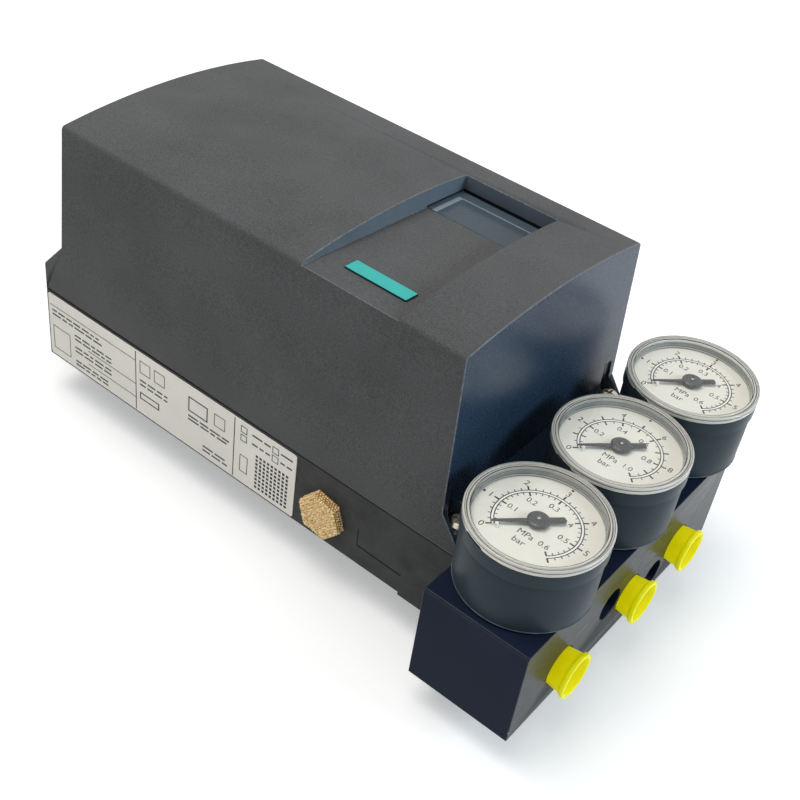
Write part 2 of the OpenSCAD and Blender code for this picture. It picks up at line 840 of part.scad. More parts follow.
module terminal_block() {
    ways = 8;
    pitch = terminal_w / ways;
    x0 = terminal_x0;
    top = board_top + terminal_h;
    color("#5d8f57") difference() {
        box([x0, x0 + terminal_l], [-terminal_w / 2, terminal_w / 2], [board_top, top]);
        for (i = [0:ways - 1]) {
            y = -terminal_w / 2 + pitch * (i + 0.5);
            rod_z([top - terminal_hole_h, top + cut], [x0 + terminal_l * 0.65, y], terminal_hole_r);
            rod_x([x0 - cut, x0 + wire_hole_l], [y, board_top + wire_hole_z], wire_hole_r);
        }
    }
}

module pneumatic_block() {
    half = pneu_w / 2;
    color("#242628") difference() {
        box([pneu_x0, pneu_x1], [-half, half], [base_floor, pneu_top]);
        for (y = air_y) rod_x([pneu_x1 - air_depth, pneu_x1 + cut], [y, port_z], air_r);
        rod_y([-half - cut, -half + air_depth], [silencer_x, silencer_z], air_r);
        for (x = valve_screw_x, y = [-1, 1])
            rod_z([base_floor - cut, pneu_top + cut], [x, y * valve_screw_y], valve_screw_r + play);
        for (y = [-1, 1])
            rod_z([pneu_top - restrictor_sink, pneu_top + cut], [restrictor_at[0], y * restrictor_at[1]],
                restrictor_r + play);
    }
}

module pneumatic_gasket() {
    color("#1c1c1c") difference() {
        box([pneu_x1, pneu_x1 + seal_t], [-pneu_w / 2, pneu_w / 2], [base_floor, base_h - 3]);
        for (y = air_y) rod_x([pneu_x1 - cut, pneu_x1 + seal_t + cut], [y, port_z], air_r);
    }
}

// Socket-head screw pointing down, with its seat at the origin
module socket_screw(r, length, head_r, head_h, key_af) {
    difference() {
        union() {
            translate([0, 0, -length]) cylinder(r = r, h = length);
            cylinder(r = head_r, h = head_h);
        }
        translate([0, 0, head_h / 2]) cylinder(r = key_af / 2 / cos(30), h = head_h, $fn = 6);
    }
}

module pneumatic_screws() {
    color("#a8aaab") for (x = valve_screw_x, y = [-1, 1])
        translate([x, y * valve_screw_y, pneu_top])
            socket_screw(valve_screw_r, pneu_h + valve_screw_bite, valve_screw_head_r, valve_screw_head_h,
                valve_screw_key);
}

module pilot_valves() {
    color("#d8d8d4") for (y = [-1, 1]) translate([pneu_x0 + pneu_l * 0.4, y * pneu_w * 0.17, pneu_top]) {
        translate([-valve_l / 2, -valve_w / 2, 0]) cube([valve_l, valve_w, valve_h]);
        translate([0, 0, valve_h]) cylinder(r = coil_r, h = coil_h);
    }
}

module restrictor_screws() {
    slot = [2 * restrictor_r + 2 * cut, restrictor_slot_w, restrictor_slot_h + cut];
    color("#b08d57") for (y = [-1, 1])
        translate([restrictor_at[0], y * restrictor_at[1], pneu_top - restrictor_sink]) difference() {
            cylinder(r = restrictor_r, h = restrictor_h);
            translate([-slot[0] / 2, -slot[1] / 2, restrictor_h - restrictor_slot_h]) cube(slot);
        }
}

module cable_gland_body() {
    flange_x = -half_l - gland_flange;
    at = [-gland_y, gland_z];
    color("#303235") difference() {
        union() {
            rod_x([-half_l, -half_l + gland_thread_l], at, gland_r);
            hex_x([flange_x, -half_l], at, gland_af);
            rod_x([flange_x - gland_neck_l, flange_x], at, gland_neck_r);
        }
        rod_x([flange_x - gland_neck_l - cut, -half_l + gland_thread_l + cut], at, gland_bore_r);
    }
}

module cable_gland_nut() {
    x1 = -half_l - gland_flange;
    at = [-gland_y, gland_z];
    dome = 4;
    color("#303235") difference() {
        union() {
            hex_x([x1 - gland_nut_l + dome, x1], at, gland_af - 2);
            translate([x1 - gland_nut_l, at[0], at[1]]) rotate([0, 90, 0])
                cylinder(r1 = cable_r + 3, r2 = gland_af / 2 - 1, h = dome);
        }
        rod_x([x1 - gland_neck_l, x1 + cut], at, gland_neck_r + play);
        rod_x([x1 - gland_nut_l - cut, x1], at, cable_r + 1);
    }
}

module cable_gland_seal() {
    x0 = -half_l - gland_flange - gland_neck_l;
    at = [-gland_y, gland_z];
    color("#1c1c1c") difference() {
        rod_x([x0, x0 + gland_seal_l], at, gland_bore_r);
        rod_x([x0 - cut, x0 + gland_seal_l + cut], at, cable_r);
    }
}

module blanking_plug() {
    at = [gland_y, gland_z];
    color("#303235") difference() {
        union() {
            rod_x([-half_l, -half_l + gland_thread_l], at, gland_r);
            hex_x([-half_l - plug_head, -half_l], at, gland_af);
        }
        rod_x([-half_l - plug_head - cut, -half_l - plug_head + plug_sink], at, gland_r - plug_rim);
    }
}

module gauge_block() {
    d = block_chamfer;
    front = block_x1;
    color("#262a35") difference() {
        translate([half_l, 0, 0]) rotate([90, 0, 90]) linear_extrude(block_d) polygon([
            [-block_near, -block_below], [block_far, -block_below], [block_far, block_top - d],
            [block_far - d, block_top], [-block_near + d, block_top], [-block_near, block_top - d]]);
        for (y = port_y) rod_x([front - port_depth, front + cut], [y, port_z], port_r);
        for (y = air_y) {
            rod_x([half_l - cut, front - port_depth + 5], [y, port_z], air_r);
            translate([half_l - cut, y, port_z]) rotate([0, 90, 0]) difference() {
                cylinder(r = oring_mid_r + oring_r + 0.1, h = 2 * oring_r + cut);
                cylinder(r = oring_mid_r - oring_r - 0.1, h = 2 * oring_r + cut);
            }
        }
        for (b = bolts) {
            rod_x([half_l - cut, front + cut], b, bolt_r + gap);
            rod_x([front - bolt_sink, front + cut], b, bolt_sink_r);
        }
        for (y = gauge_y) rod_z([port_z, block_top + cut], [gauge_x, y], stem_r + play);
        rod_y([port_3_y, block_far + cut], [gauge_x, port_z], channel_r);
        rod_y([block_far - channel_plug_l, block_far + cut], [gauge_x, port_z], channel_plug_r + play);
    }
}

module block_seals() {
    color("#1c1c1c") for (y = air_y) translate([half_l + oring_r, y, port_z]) rotate([0, 90, 0])
        rotate_extrude() translate([oring_mid_r, 0]) circle(r = oring_r, $fn = 24);
}

module block_screws() {
    color("#33353a") for (b = bolts)
        translate([block_x1 - bolt_sink, b[0], b[1]]) rotate([0, 90, 0])
            socket_screw(bolt_r, block_d - bolt_sink + bolt_bite, bolt_sink_r - bolt_head_gap, bolt_head_h,
                bolt_key);
}

module channel_plug() {
    color("#33353a") difference() {
        rod_y([block_far - channel_plug_l, block_far], [gauge_x, port_z], channel_plug_r);
        translate([gauge_x, block_far - channel_key_h, port_z]) rotate([-90, 0, 0])
            cylinder(r = channel_key_r, h = channel_key_h + cut, $fn = 6);
    }
}

// Thin plastic cup that plugs an air port and flares to a rim
module port_cap(i) {
    bite_r = port_r - gap;
    color("#e6dc00") translate([block_x1, port_y[i], port_z]) rotate([0, 90, 0]) rotate_extrude() polygon([
        [0, -cap_bite], [bite_r - 0.5, -cap_bite], [bite_r, -cap_bite + 1], [bite_r, 0.4],
        [cap_rim_r - 0.7, cap_proud - 1.8], [cap_rim_r, cap_proud - 1.4], [cap_rim_r, cap_proud - 0.3],
        [cap_rim_r - 0.3, cap_proud], [cap_rim_r - cap_wall, cap_proud], [bite_r - cap_wall, 0],
        [bite_r - cap_wall, cap_wall - cap_bite], [0, cap_wall - cap_bite]]);
}

module port_cap_1() { port_cap(0); }
module port_cap_2() { port_cap(1); }
module port_cap_3() { port_cap(2); }

// Cup of a gauge, with a neck that carries the dial and takes the lens
module gauge_case(i) {
    color("#3b4148") translate([gauge_x, gauge_y[i], 0]) difference() {
        union() {
            rod_z([gauge_z, case_top], [0, 0], case_r);
            rod_z([case_top, dial_z], [0, 0], neck_r);
        }
        rod_z([gauge_z + case_floor, dial_z + cut], [0, 0], case_r - case_wall);
        rod_z([gauge_z - cut, gauge_z + case_floor + cut], [0, 0], stem_r);
    }
}

module gauge_case_1() { gauge_case(0); }
module gauge_case_2() { gauge_case(1); }
module gauge_case_3() { gauge_case(2); }

// Clear cap that snaps over the neck of the case; its window lies a step below its rim
module gauge_lens(i) {
    pane_t = 0.9;
    step = 0.3;
    window_r = dial_r + 0.15;
    top = case_top + lens_h;
    color("#e8eef0", 0.3) translate([gauge_x, gauge_y[i], 0]) difference() {
        rod_z([case_top, top], [0, 0], lens_r);
        rod_z([case_top - cut, dial_z], [0, 0], neck_r + play);
        rod_z([dial_z - cut, top - step - pane_t], [0, 0], window_r);
        rod_z([top - step, top + cut], [0, 0], window_r);
    }
}

module gauge_lens_1() { gauge_lens(0); }
module gauge_lens_2() { gauge_lens(1); }
module gauge_lens_3() { gauge_lens(2); }

// Dial plate with the pin that stops the pointer at zero
module gauge_dial(i) {
    a = pointer_rest + stop_turn;
    color("#ece7da") translate([gauge_x, gauge_y[i], 0]) {
        difference() {
            rod_z([dial_z, dial_z + dial_t], [0, 0], dial_r);
            rod_z([dial_z - cut, dial_z + dial_t + cut], [0, 0], dial_hole_r);
        }
        rod_z([dial_z + dial_t, hub_z + hub_h - 0.4], stop_at * [cos(a), sin(a)], stop_r);
    }
}

module gauge_dial_1() { gauge_dial(0); }
module gauge_dial_2() { gauge_dial(1); }
module gauge_dial_3() { gauge_dial(2); }

// Pointer on its arbor, with the pinion that the toothed sector drives
module gauge_pointer(i) {
    blade_z = hub_z + 0.5;
    outline = gear_outline(pinion_teeth, movement_m, gear_pa, movement_add, movement_ded,
        movement_backlash * movement_m);
    color("#1d1f21") translate([gauge_x, gauge_y[i], 0]) {
        rod_z([hub_z, hub_z + hub_h], [0, 0], hub_r);
        translate([0, 0, blade_z]) linear_extrude(blade_t) rotate(pointer_rest) polygon([
            [-pointer_tail, -blade_w / 2], [0, -blade_w / 2], [pointer_l, -tip_w / 2],
            [pointer_l, tip_w / 2], [0, blade_w / 2], [-pointer_tail, blade_w / 2]]);
        rod_z([plate_z + 0.1, hub_z], [0, 0], arbor_r);
        translate([0, 0, plate_z + plate_t + gap]) linear_extrude(plate_gap - 2 * gap)
            rotate(sector_dir + 180 / pinion_teeth) polygon(outline);
    }
}

module gauge_pointer_1() { gauge_pointer(0); }
module gauge_pointer_2() { gauge_pointer(1); }
module gauge_pointer_3() { gauge_pointer(2); }

// Toothed sector that turns the pinion; its tail is drawn by the tube's tip
module gauge_sector(i) {
    step = 360 / sector_teeth;
    swing = pointer_sweep * pinion_teeth / sector_teeth;
    spare = 2;
    last = ceil(swing / step) + spare;
    teeth = [for (k = [last:-1:-spare], p = tooth(-step * k, sector_r, sector_teeth, movement_m, gear_pa,
        movement_add, movement_ded, movement_backlash * movement_m)) p];
    color("#b5924f") translate([gauge_x + sector_at[0], gauge_y[i] + sector_at[1], 0]) {
        translate([0, 0, sector_z]) linear_extrude(sector_t) rotate(sector_dir + 180) {
            polygon(concat([[0, 0]], teeth));
            circle(r = 1.5);
            rotate(-90) {
                translate([0, -0.7]) square([sector_tail, 1.4]);
                translate([sector_tail, 0]) circle(r = 0.9);
            }
        }
        rod_z([plate_z + 0.1, plate_z + 2 * plate_t + plate_gap - 0.1], [0, 0], arbor_r);
    }
}

module gauge_sector_1() { gauge_sector(0); }
module gauge_sector_2() { gauge_sector(1); }
module gauge_sector_3() { gauge_sector(2); }

// Flat ring section about a gauge's axis, from one direction through an angle
module ring_section(from, angle, r, width, z) {
    translate([0, 0, z[0]]) rotate(from) rotate_extrude(angle = angle)
        translate([r - width / 2, 0]) square([width, z[1] - z[0]]);
}

// Threaded stems, each with the arm that the tube is soldered to
module gauge_stems() {
    bore_r = 1.5;
    arm_w = 4;
    color("#b5924f") for (y = gauge_y) translate([gauge_x, y, 0]) difference() {
        union() {
            rod_z([block_top - stem_depth, plate_z], [0, 0], stem_r);
            rotate(tube_root) box([0, tube_mid_r - tube_t], [-arm_w / 2, arm_w / 2],
                [gauge_z + case_floor, tube_z]);
            ring_section(tube_root - tube_root_a / 2, tube_root_a, tube_mid_r, 2 * tube_t,
                [gauge_z + case_floor, tube_z + tube_h]);
        }
        rod_z([block_top - stem_depth - cut, plate_z - 3], [0, 0], bore_r);
    }
}

// Curved tubes that straighten under pressure, each with its closed tip and its link to the sector
module bourdon_tubes() {
    start = tube_root + tube_root_a / 2;
    z = [tube_z, tube_z + tube_h];
    link_z = sector_z + sector_t + gap;
    link_t = 0.7;
    link_w = 1.2;
    run = tail_at - tip_at;
    color("#b08d57") for (y = gauge_y) translate([gauge_x, y, 0]) {
        difference() {
            ring_section(start, tube_turn, tube_mid_r, tube_t, z);
            ring_section(start, tube_turn, tube_mid_r, tube_t - 2 * tube_wall, z + [1, -1] * tube_wall);
        }
        ring_section(start + tube_turn, tube_tip_a, tube_mid_r, tube_t, [tube_z, link_z]);
        translate([tip_at[0], tip_at[1], link_z]) rotate(atan2(run[1], run[0]))
            translate([-link_w / 2, -link_w / 2, 0]) cube([norm(run) + link_w, link_w, link_t]);
    }
}

// Two plates on pillars that carry the arbors of pinion and sector
module movement_frames() {
    top_z = plate_z + plate_t + plate_gap;
    pillars = [0, 250];
    pillar_r = 1.5;
    color("#c9b37a") for (y = gauge_y) translate([gauge_x, y, 0]) difference() {
        union() {
            rod_z([plate_z, plate_z + plate_t], [0, 0], plate_r);
            rod_z([top_z, top_z + plate_t], [0, 0], plate_r);
            for (a = pillars)
                rod_z([plate_z, top_z + plate_t], 9 * [cos(a), sin(a)], pillar_r);
        }
        for (at = [[0, 0], sector_at])
            rod_z([plate_z - cut, top_z + plate_t + cut], at, arbor_r + play);
    }
}

base_housing();
housing_cover();
cover_gasket();
cover_screws();
display_window();
badge_plate();
rating_label();
silencer();
feedback_shaft();
shaft_bush();
shaft_ring();
drive_gear();
clutch_wheel();
potentiometer();
potentiometer_gear();
board_carrier();
main_board();
board_screws();
lcd_module();
module_cover();
button_mode();
button_up();
button_down();
button_switches();
terminal_block();
pneumatic_block();
pneumatic_gasket();
pneumatic_screws();
pilot_valves();
restrictor_screws();
cable_gland_body();
cable_gland_nut();
cable_gland_seal();
blanking_plug();
gauge_block();
block_seals();
block_screws();
channel_plug();
port_cap_1();
port_cap_2();
port_cap_3();
gauge_case_1();
gauge_case_2();
gauge_case_3();
gauge_dial_1();
gauge_dial_2();
gauge_dial_3();
gauge_lens_1();
gauge_lens_2();
gauge_lens_3();
gauge_pointer_1();
gauge_pointer_2();
gauge_pointer_3();
gauge_sector_1();
gauge_sector_2();
gauge_sector_3();
gauge_stems();
bourdon_tubes();
movement_frames();
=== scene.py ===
import json
import math
import random

import bmesh
import bpy
from mathutils import Matrix, Vector


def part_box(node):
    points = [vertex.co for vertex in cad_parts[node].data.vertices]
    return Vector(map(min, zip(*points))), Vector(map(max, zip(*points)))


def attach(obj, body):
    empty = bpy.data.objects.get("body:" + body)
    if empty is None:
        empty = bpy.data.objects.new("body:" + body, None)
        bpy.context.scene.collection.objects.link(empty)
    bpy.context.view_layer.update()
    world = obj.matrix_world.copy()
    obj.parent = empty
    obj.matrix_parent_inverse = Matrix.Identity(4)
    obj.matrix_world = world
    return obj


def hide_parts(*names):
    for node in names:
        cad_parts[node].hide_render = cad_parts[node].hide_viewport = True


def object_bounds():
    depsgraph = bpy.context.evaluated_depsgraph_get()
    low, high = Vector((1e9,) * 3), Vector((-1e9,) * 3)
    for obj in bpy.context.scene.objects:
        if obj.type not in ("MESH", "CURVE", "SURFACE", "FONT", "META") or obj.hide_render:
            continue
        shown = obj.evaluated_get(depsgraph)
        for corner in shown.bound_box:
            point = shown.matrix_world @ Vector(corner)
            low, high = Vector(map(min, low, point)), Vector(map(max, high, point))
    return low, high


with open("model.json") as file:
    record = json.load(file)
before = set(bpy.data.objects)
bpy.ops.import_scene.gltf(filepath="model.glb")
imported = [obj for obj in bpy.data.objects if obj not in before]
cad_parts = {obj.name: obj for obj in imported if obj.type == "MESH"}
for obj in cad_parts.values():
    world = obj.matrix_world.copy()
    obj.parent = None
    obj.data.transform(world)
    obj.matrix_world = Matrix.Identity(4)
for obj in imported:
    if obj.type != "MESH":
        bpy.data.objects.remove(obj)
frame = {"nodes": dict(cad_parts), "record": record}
cad_box = [list(corner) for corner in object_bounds()]

MM = 0.001
SCENE = bpy.context.scene
NODES = frame["nodes"]
RECORD = frame["record"]
SLOT = {part["node"]: part["material_slot"] for part in RECORD["subparts"]}
BODY = {name: body for body, names in RECORD["behaviour"]["bodies"].items() for name in names}
GAUGES = (1, 2, 3)


def box_mm(name):
    """Lowest and highest corner of a CAD node, in mm."""
    return [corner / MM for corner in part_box(name)]


# Sizes in mm, read from the CAD nodes
base_high = box_mm("base_housing")[1]
label_low, label_high = box_mm("rating_label")
silencer_low, silencer_high = box_mm("silencer")
block_low, block_high = box_mm("gauge_block")
case_low, case_high = box_mm("gauge_case_1")
lens_low, lens_high = box_mm("gauge_lens_1")
HALF_W = base_high.y
GAUGE_X = (case_low.x + case_high.x) / 2
GAUGE_Y = [sum(corner.y for corner in box_mm(f"gauge_case_{i}")) / 2 for i in GAUGES]
CASE_R = (case_high.x - case_low.x) / 2
CASE_FOOT = case_low.z
CASE_TOP = lens_low.z
LENS_R = (lens_high.x - lens_low.x) / 2
LENS_TOP = lens_high.z
DIAL_Z = case_high.z

# Sizes in mm and angles in degrees that repeat the CAD source
DIAL_R = 18.9
DIAL_T = 0.6
DIAL_TOP = DIAL_Z + DIAL_T
DIAL_ZERO = 225
DIAL_SWEEP = 270
NECK_R = 19.35
STEM_R = 4.9
ARCH_R = 283.0
CROWN_Y = -8.7
CROWN_Z = 97.4
COVER_TAPER = 1.6
TOP_HALF_W = HALF_W - COVER_TAPER
RECESS_FROM_END = 35.2
RECESS_L = 35.5
RECESS_X1 = base_high.x - RECESS_FROM_END
RECESS_X0 = RECESS_X1 - RECESS_L
RECESS_FAR = 32.6
RECESS_DEPTH = 5.4
RECESS_NEAR_DROP = 3.1
SILENCER_AF = 15.1
SILENCER_TURN = -11.5
CAP_BITE = 6

# Distances in metres under which vertices are joined
WELD_CAD = 3e-6
WELD_TURNED = 1e-7


# Materials

# Noise levels between which the colour drifts and the gloss changes
DRIFT_LEVELS = (0.33, 0.67)
GLOSS_LEVELS = (0.25, 0.75)


def tone(code, factor=1.0):
    """Linear colour of a hex code, times a factor."""
    rgb = [int(code[i:i + 2], 16) / 255 for i in (1, 3, 5)]
    linear = [c / 12.92 if c <= 0.04045 else ((c + 0.055) / 1.055) ** 2.4 for c in rgb]
    return [min(1.0, c * factor) for c in linear] + [1.0]


def node(tree, kind, **values):
    """New shader node; each value goes to the socket or the property of that name."""
    made = tree.nodes.new("ShaderNode" + kind)
    for key, value in values.items():
        if key in made.inputs:
            made.inputs[key].default_value = value
        else:
            setattr(made, key, value)
    return made


def surface(name, code, rough, metallic=0.0, drift=0.10, drift_scale=45.0, grain=1800.0, depth=0.03,
            speck=0.0, spread=0.08, stretch=(1, 1, 1), **sockets):
    """Principled material. A wide noise drifts the colour; a fine one gives specks, gloss and bump.
    Scales are per metre, depth is in mm, and stretch draws the fine noise out into lines."""
    mat = bpy.data.materials.new(name)
    mat.use_nodes = True
    tree = mat.node_tree
    link = tree.links.new
    bsdf = tree.nodes["Principled BSDF"]
    place = node(tree, "TexCoord")
    wide = node(tree, "TexNoise", Scale=drift_scale, Detail=5.0, Roughness=0.6)
    link(place.outputs["Object"], wide.inputs["Vector"])
    drawn = node(tree, "Mapping", Scale=stretch)
    link(place.outputs["Object"], drawn.inputs["Vector"])
    fine = node(tree, "TexNoise", Scale=grain, Detail=3.0, Roughness=0.65)
    link(drawn.outputs["Vector"], fine.inputs["Vector"])
    mixed = node(tree, "Mix", Factor=speck)
    link(wide.outputs["Fac"], mixed.inputs["A"])
    link(fine.outputs["Fac"], mixed.inputs["B"])
    ramp = node(tree, "ValToRGB")
    for stop, position, change in zip(ramp.color_ramp.elements, DRIFT_LEVELS, (-drift, drift)):
        stop.position = position
        stop.color = tone(code, 1 + change)
    link(mixed.outputs["Result"], ramp.inputs["Fac"])
    link(ramp.outputs["Color"], bsdf.inputs["Base Color"])
    gloss = node(tree, "MapRange")
    smoothest, roughest = max(0.02, rough - spread), min(1.0, rough + spread)
    for key, value in zip(("From Min", "From Max", "To Min", "To Max"),
                          (*GLOSS_LEVELS, smoothest, roughest)):
        gloss.inputs[key].default_value = value
    link(fine.outputs["Fac"], gloss.inputs["Value"])
    link(gloss.outputs["Result"], bsdf.inputs["Roughness"])
    bump = node(tree, "Bump", Distance=depth * MM, Strength=1.0)
    link(fine.outputs["Fac"], bump.inputs["Height"])
    link(bump.outputs["Normal"], bsdf.inputs["Normal"])
    bsdf.inputs["Metallic"].default_value = metallic
    for key, value in sockets.items():
        bsdf.inputs[key.replace("_", " ")].default_value = value
    return mat


def plastic(name, code, rough, sheen=0.15, **options):
    """Matt moulded plastic, with a weak reflection."""
    return surface(name, code, rough, Specular_IOR_Level=sheen, **options)


def metal(name, code, rough, **options):
    return surface(name, code, rough, metallic=1.0, **options)


# One material for each slot of the record
MAT = {
    "base_plastic": plastic("base_plastic", "#474847", 0.58, sheen=0.08, drift=0.28, drift_scale=110,
                            grain=1500, depth=0.05, speck=0.3),
    "cover_plastic": plastic("cover_plastic", "#595959", 0.52, sheen=0.06, drift=0.38, drift_scale=25,
                             grain=1900, depth=0.07, speck=0.66),
    "seal_rubber": plastic("seal_rubber", "#1b1b1c", 0.75, drift=0.2, grain=900),
    "screw_steel": metal("screw_steel", "#cbc4b5", 0.30, grain=900, depth=0.01),
    "window_clear": plastic("window_clear", "#505c65", 0.14, sheen=0.12, drift=0.05, grain=300,
                            depth=0.002, spread=0.03, Alpha=0.8),
    "badge_teal": plastic("badge_teal", "#2fb3ab", 0.38, sheen=0.3, drift=0.05, grain=2500, depth=0.008),
    "label_foil": plastic("label_foil", "#faf5e9", 0.42, sheen=0.3, drift=0.04, drift_scale=30,
                          grain=1200, depth=0.006),
    "sintered_bronze": surface("sintered_bronze", "#ffcb93", 0.30, metallic=0.30, drift=0.38,
                               drift_scale=900, grain=2500, depth=0.03),
    "shaft_steel": metal("shaft_steel", "#b9bbbc", 0.28, grain=700, depth=0.006, stretch=(1, 1, 12)),
    "bearing_bronze": metal("bearing_bronze", "#b58a4d", 0.38, drift=0.15, grain=900, depth=0.01),
    "gear_plastic": plastic("gear_plastic", "#e2dccb", 0.45, drift=0.06, grain=1200, depth=0.01),
    "inner_plastic": plastic("inner_plastic", "#2b2d30", 0.55, drift=0.15, grain=1500),
    "potentiometer_plastic": plastic("potentiometer_plastic", "#3b4a63", 0.45, drift=0.12, grain=1500),
    "board_green": plastic("board_green", "#2f6b3a", 0.35, drift=0.25, drift_scale=300, grain=1200,
                           depth=0.01),
    "lcd_glass": plastic("lcd_glass", "#6b7880", 0.22, drift=0.10, drift_scale=40, grain=2000, depth=0.004),
    "button_plastic": plastic("button_plastic", "#8f9498", 0.45, drift=0.08, grain=1500),
    "terminal_plastic": plastic("terminal_plastic", "#5d8f57", 0.45, drift=0.1, grain=1500),
    "valve_plastic": plastic("valve_plastic", "#d8d8d4", 0.45, drift=0.06, grain=1500),
    "brass": metal("brass", "#c2a05a", 0.30, drift=0.12, grain=900, depth=0.008),
    "gland_plastic": plastic("gland_plastic", "#333539", 0.45, drift=0.14, grain=1500, depth=0.02),
    "anodised_black": plastic("anodised_black", "#1c2537", 0.36, sheen=0.05, drift=0.14, drift_scale=35,
                              grain=1400, depth=0.012, spread=0.05),
    "black_steel": surface("black_steel", "#1c1f26", 0.42, metallic=0.6, drift=0.2, grain=1200),
    # Yellow caps: a faint yellow emission makes them glow, painted light
    "cap_yellow": surface("cap_yellow", "#fff000", 0.38, drift=0.05, drift_scale=90, grain=900, depth=0.012,
                          Subsurface_Weight=0.6, Subsurface_Scale=0.006, Subsurface_Radius=(1.0, 0.95, 0.2),
                          Specular_IOR_Level=0.3, Emission_Color=tone("#fff400"), Emission_Strength=0.15),
    "case_plastic": plastic("case_plastic", "#394349", 0.36, sheen=0.08, drift=0.10, drift_scale=30,
                            grain=1400, depth=0.008, spread=0.05, stretch=(1, 1, 0.15)),
    "dial_cream": plastic("dial_cream", "#f0ecde", 0.45, drift=0.035, drift_scale=60, grain=1500,
                          depth=0.004),
    "pointer_black": surface("pointer_black", "#26292b", 0.30, drift=0.15, grain=1200, depth=0.01),
    # Lens: part clear, part near-white; the white paints the bright reflections of the clear rim
    "lens_clear": surface("lens_clear", "#fdf9ee", 0.05, drift=0.03, grain=200, depth=0.0005, spread=0.01,
                          Transmission_Weight=0.45, IOR=1.5),
}

# Materials of single details
# Pale bevels of the cover: a painted highlight along its edges
COVER_EDGE_HIGHLIGHT = plastic("cover_edge_painted_highlight", "#74777a", 0.45, drift=0.35, drift_scale=900, grain=2300, depth=0.03)
# Darker, bluer and glossier copy of the cover plastic for its gauge end face: painted shade and reflection
COVER_END_PAINTED_SHADE = plastic("cover_end", "#2f4154", 0.26, sheen=0.3, drift=0.10, drift_scale=20, grain=2300,
                    depth=0.015)
# Lighter, bluish tints of the recess's cable-side and far walls: painted light
RECESS_SIDE_PAINTED_LIGHT = plastic("recess_side_painted_light", "#78838b", 0.5, drift=0.10, drift_scale=60, grain=2300, depth=0.03)
RECESS_WALL_PAINTED_LIGHT = plastic("recess_wall_painted_light", "#555e68", 0.5, drift=0.10, drift_scale=60, grain=2300, depth=0.03)
WINDOW_BAND = plastic("window_band", "#48545d", 0.35, drift=0.06, drift_scale=80, grain=1500, depth=0.006)
WINDOW_LINE = plastic("window_line", "#838e94", 0.35, drift=0.06, drift_scale=80, grain=1500, depth=0.006)
# Near-black: painted shadow in the window's gap, and the moulded line on the base
DARK_SEAM_AND_PAINTED_SHADOW = plastic("dark_seam_and_painted_shadow", "#0d0e10", 0.7, drift=0.2, grain=1500)
BADGE_EDGE = plastic("badge_edge", "#12383b", 0.45, drift=0.1, grain=2000, depth=0.008)
LABEL_INK = plastic("label_ink", "#33322f", 0.5, drift=0.15, drift_scale=300, grain=2500, depth=0.004)
# Darker bronze of the silencer's core: painted shade in the gaps between the grains
SILENCER_CORE_PAINTED_SHADE = surface("silencer_core", "#c29858", 0.55, metallic=0.3, drift=0.25, drift_scale=600,
                        grain=3000, depth=0.03)
# Lighter, more reflective copy of the block's finish for its port face: painted reflection
PORT_FACE_PAINTED_REFLECTION = surface("port_face_painted_reflection", "#2b2d31", 0.30, drift=0.10, drift_scale=30, grain=900, depth=0.006,
                      spread=0.05, stretch=(1, 0.15, 1), IOR=1.25)
BLOCK_EDGE = plastic("block_edge", "#232a35", 0.35, drift=0.4, drift_scale=500, grain=2300, depth=0.02)
BARE_NICK = plastic("bare_nick", "#c9cccb", 0.45, drift=0.2, drift_scale=2000, grain=3000, depth=0.01)
# Pale ring at the foot of each gauge case: a painted highlight
CASE_FOOT_HIGHLIGHT = plastic("case_foot_painted_highlight", "#5f6a72", 0.40, drift=0.3, drift_scale=300, grain=1400, depth=0.01)
LENS_PANE = metal("lens_pane", "#ffffff", 0.04, drift=0.02, grain=60, depth=0.001, spread=0.02, Alpha=0.04)
# Grey band and dark lines on the lens: painted reflections in the clear plastic
RIM_REFLECTION_BAND = plastic("rim_painted_reflection_band", "#8b918e", 0.15, sheen=0.4, drift=0.10, drift_scale=90, grain=200,
                   depth=0.0005)
RIM_REFLECTION_LINE = plastic("rim_painted_reflection_line", "#4a4c4a", 0.25, sheen=0.3, drift=0.25, drift_scale=90, grain=200,
                   depth=0.0005)
LENS_SKIRT = plastic("lens_skirt", "#374349", 0.30, sheen=0.08, drift=0.05, grain=300, depth=0.001,
                     spread=0.03)
DIAL_INK = plastic("dial_ink", "#101214", 0.5, drift=0.2, drift_scale=400, grain=2500, depth=0.005)
DIAL_BAND = plastic("dial_band", "#fdfaf1", 0.45, drift=0.03, grain=1500, depth=0.004)
STOP_PIN = plastic("stop_pin", "#fffef9", 0.35, drift=0.03, grain=1500, depth=0.004)


# Mesh helpers

def shift(x, y, z):
    """Move in mm, as a matrix."""
    return Matrix.Translation((x * MM, y * MM, z * MM))


def turn(degrees, axis):
    return Matrix.Rotation(math.radians(degrees), 4, axis)


def polar(r, degrees):
    return r * math.cos(math.radians(degrees)), r * math.sin(math.radians(degrees))


def piece(name, bm, mat, body="housing", stands_for=(), angle=38):
    """Smooth-shaded object from a mesh, sharp above an angle, riding on a body."""
    mesh = bpy.data.meshes.new(name)
    bmesh.ops.recalc_face_normals(bm, faces=bm.faces)
    bm.to_mesh(mesh)
    bm.free()
    mesh.polygons.foreach_set("use_smooth", [True] * len(mesh.polygons))
    mesh.set_sharp_from_angle(angle=math.radians(angle))
    mesh.materials.append(mat)
    obj = bpy.data.objects.new(name, mesh)
    SCENE.collection.objects.link(obj)
    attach(obj, body)
    if stands_for:
        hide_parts(*stands_for)
    return obj


def soften(obj, width, segments=3, angle=32, limit="ANGLE"):
    """Bevel of a piece's sharp edges, width in mm."""
    bevel = obj.modifiers.new("bevel", "BEVEL")
    bevel.width = width * MM
    bevel.segments = segments
    bevel.limit_method = limit
    bevel.angle_limit = math.radians(angle)
    bevel.miter_outer = "MITER_ARC"
    bevel.harden_normals = True
    bevel.use_clamp_overlap = limit == "ANGLE"
    return bevel


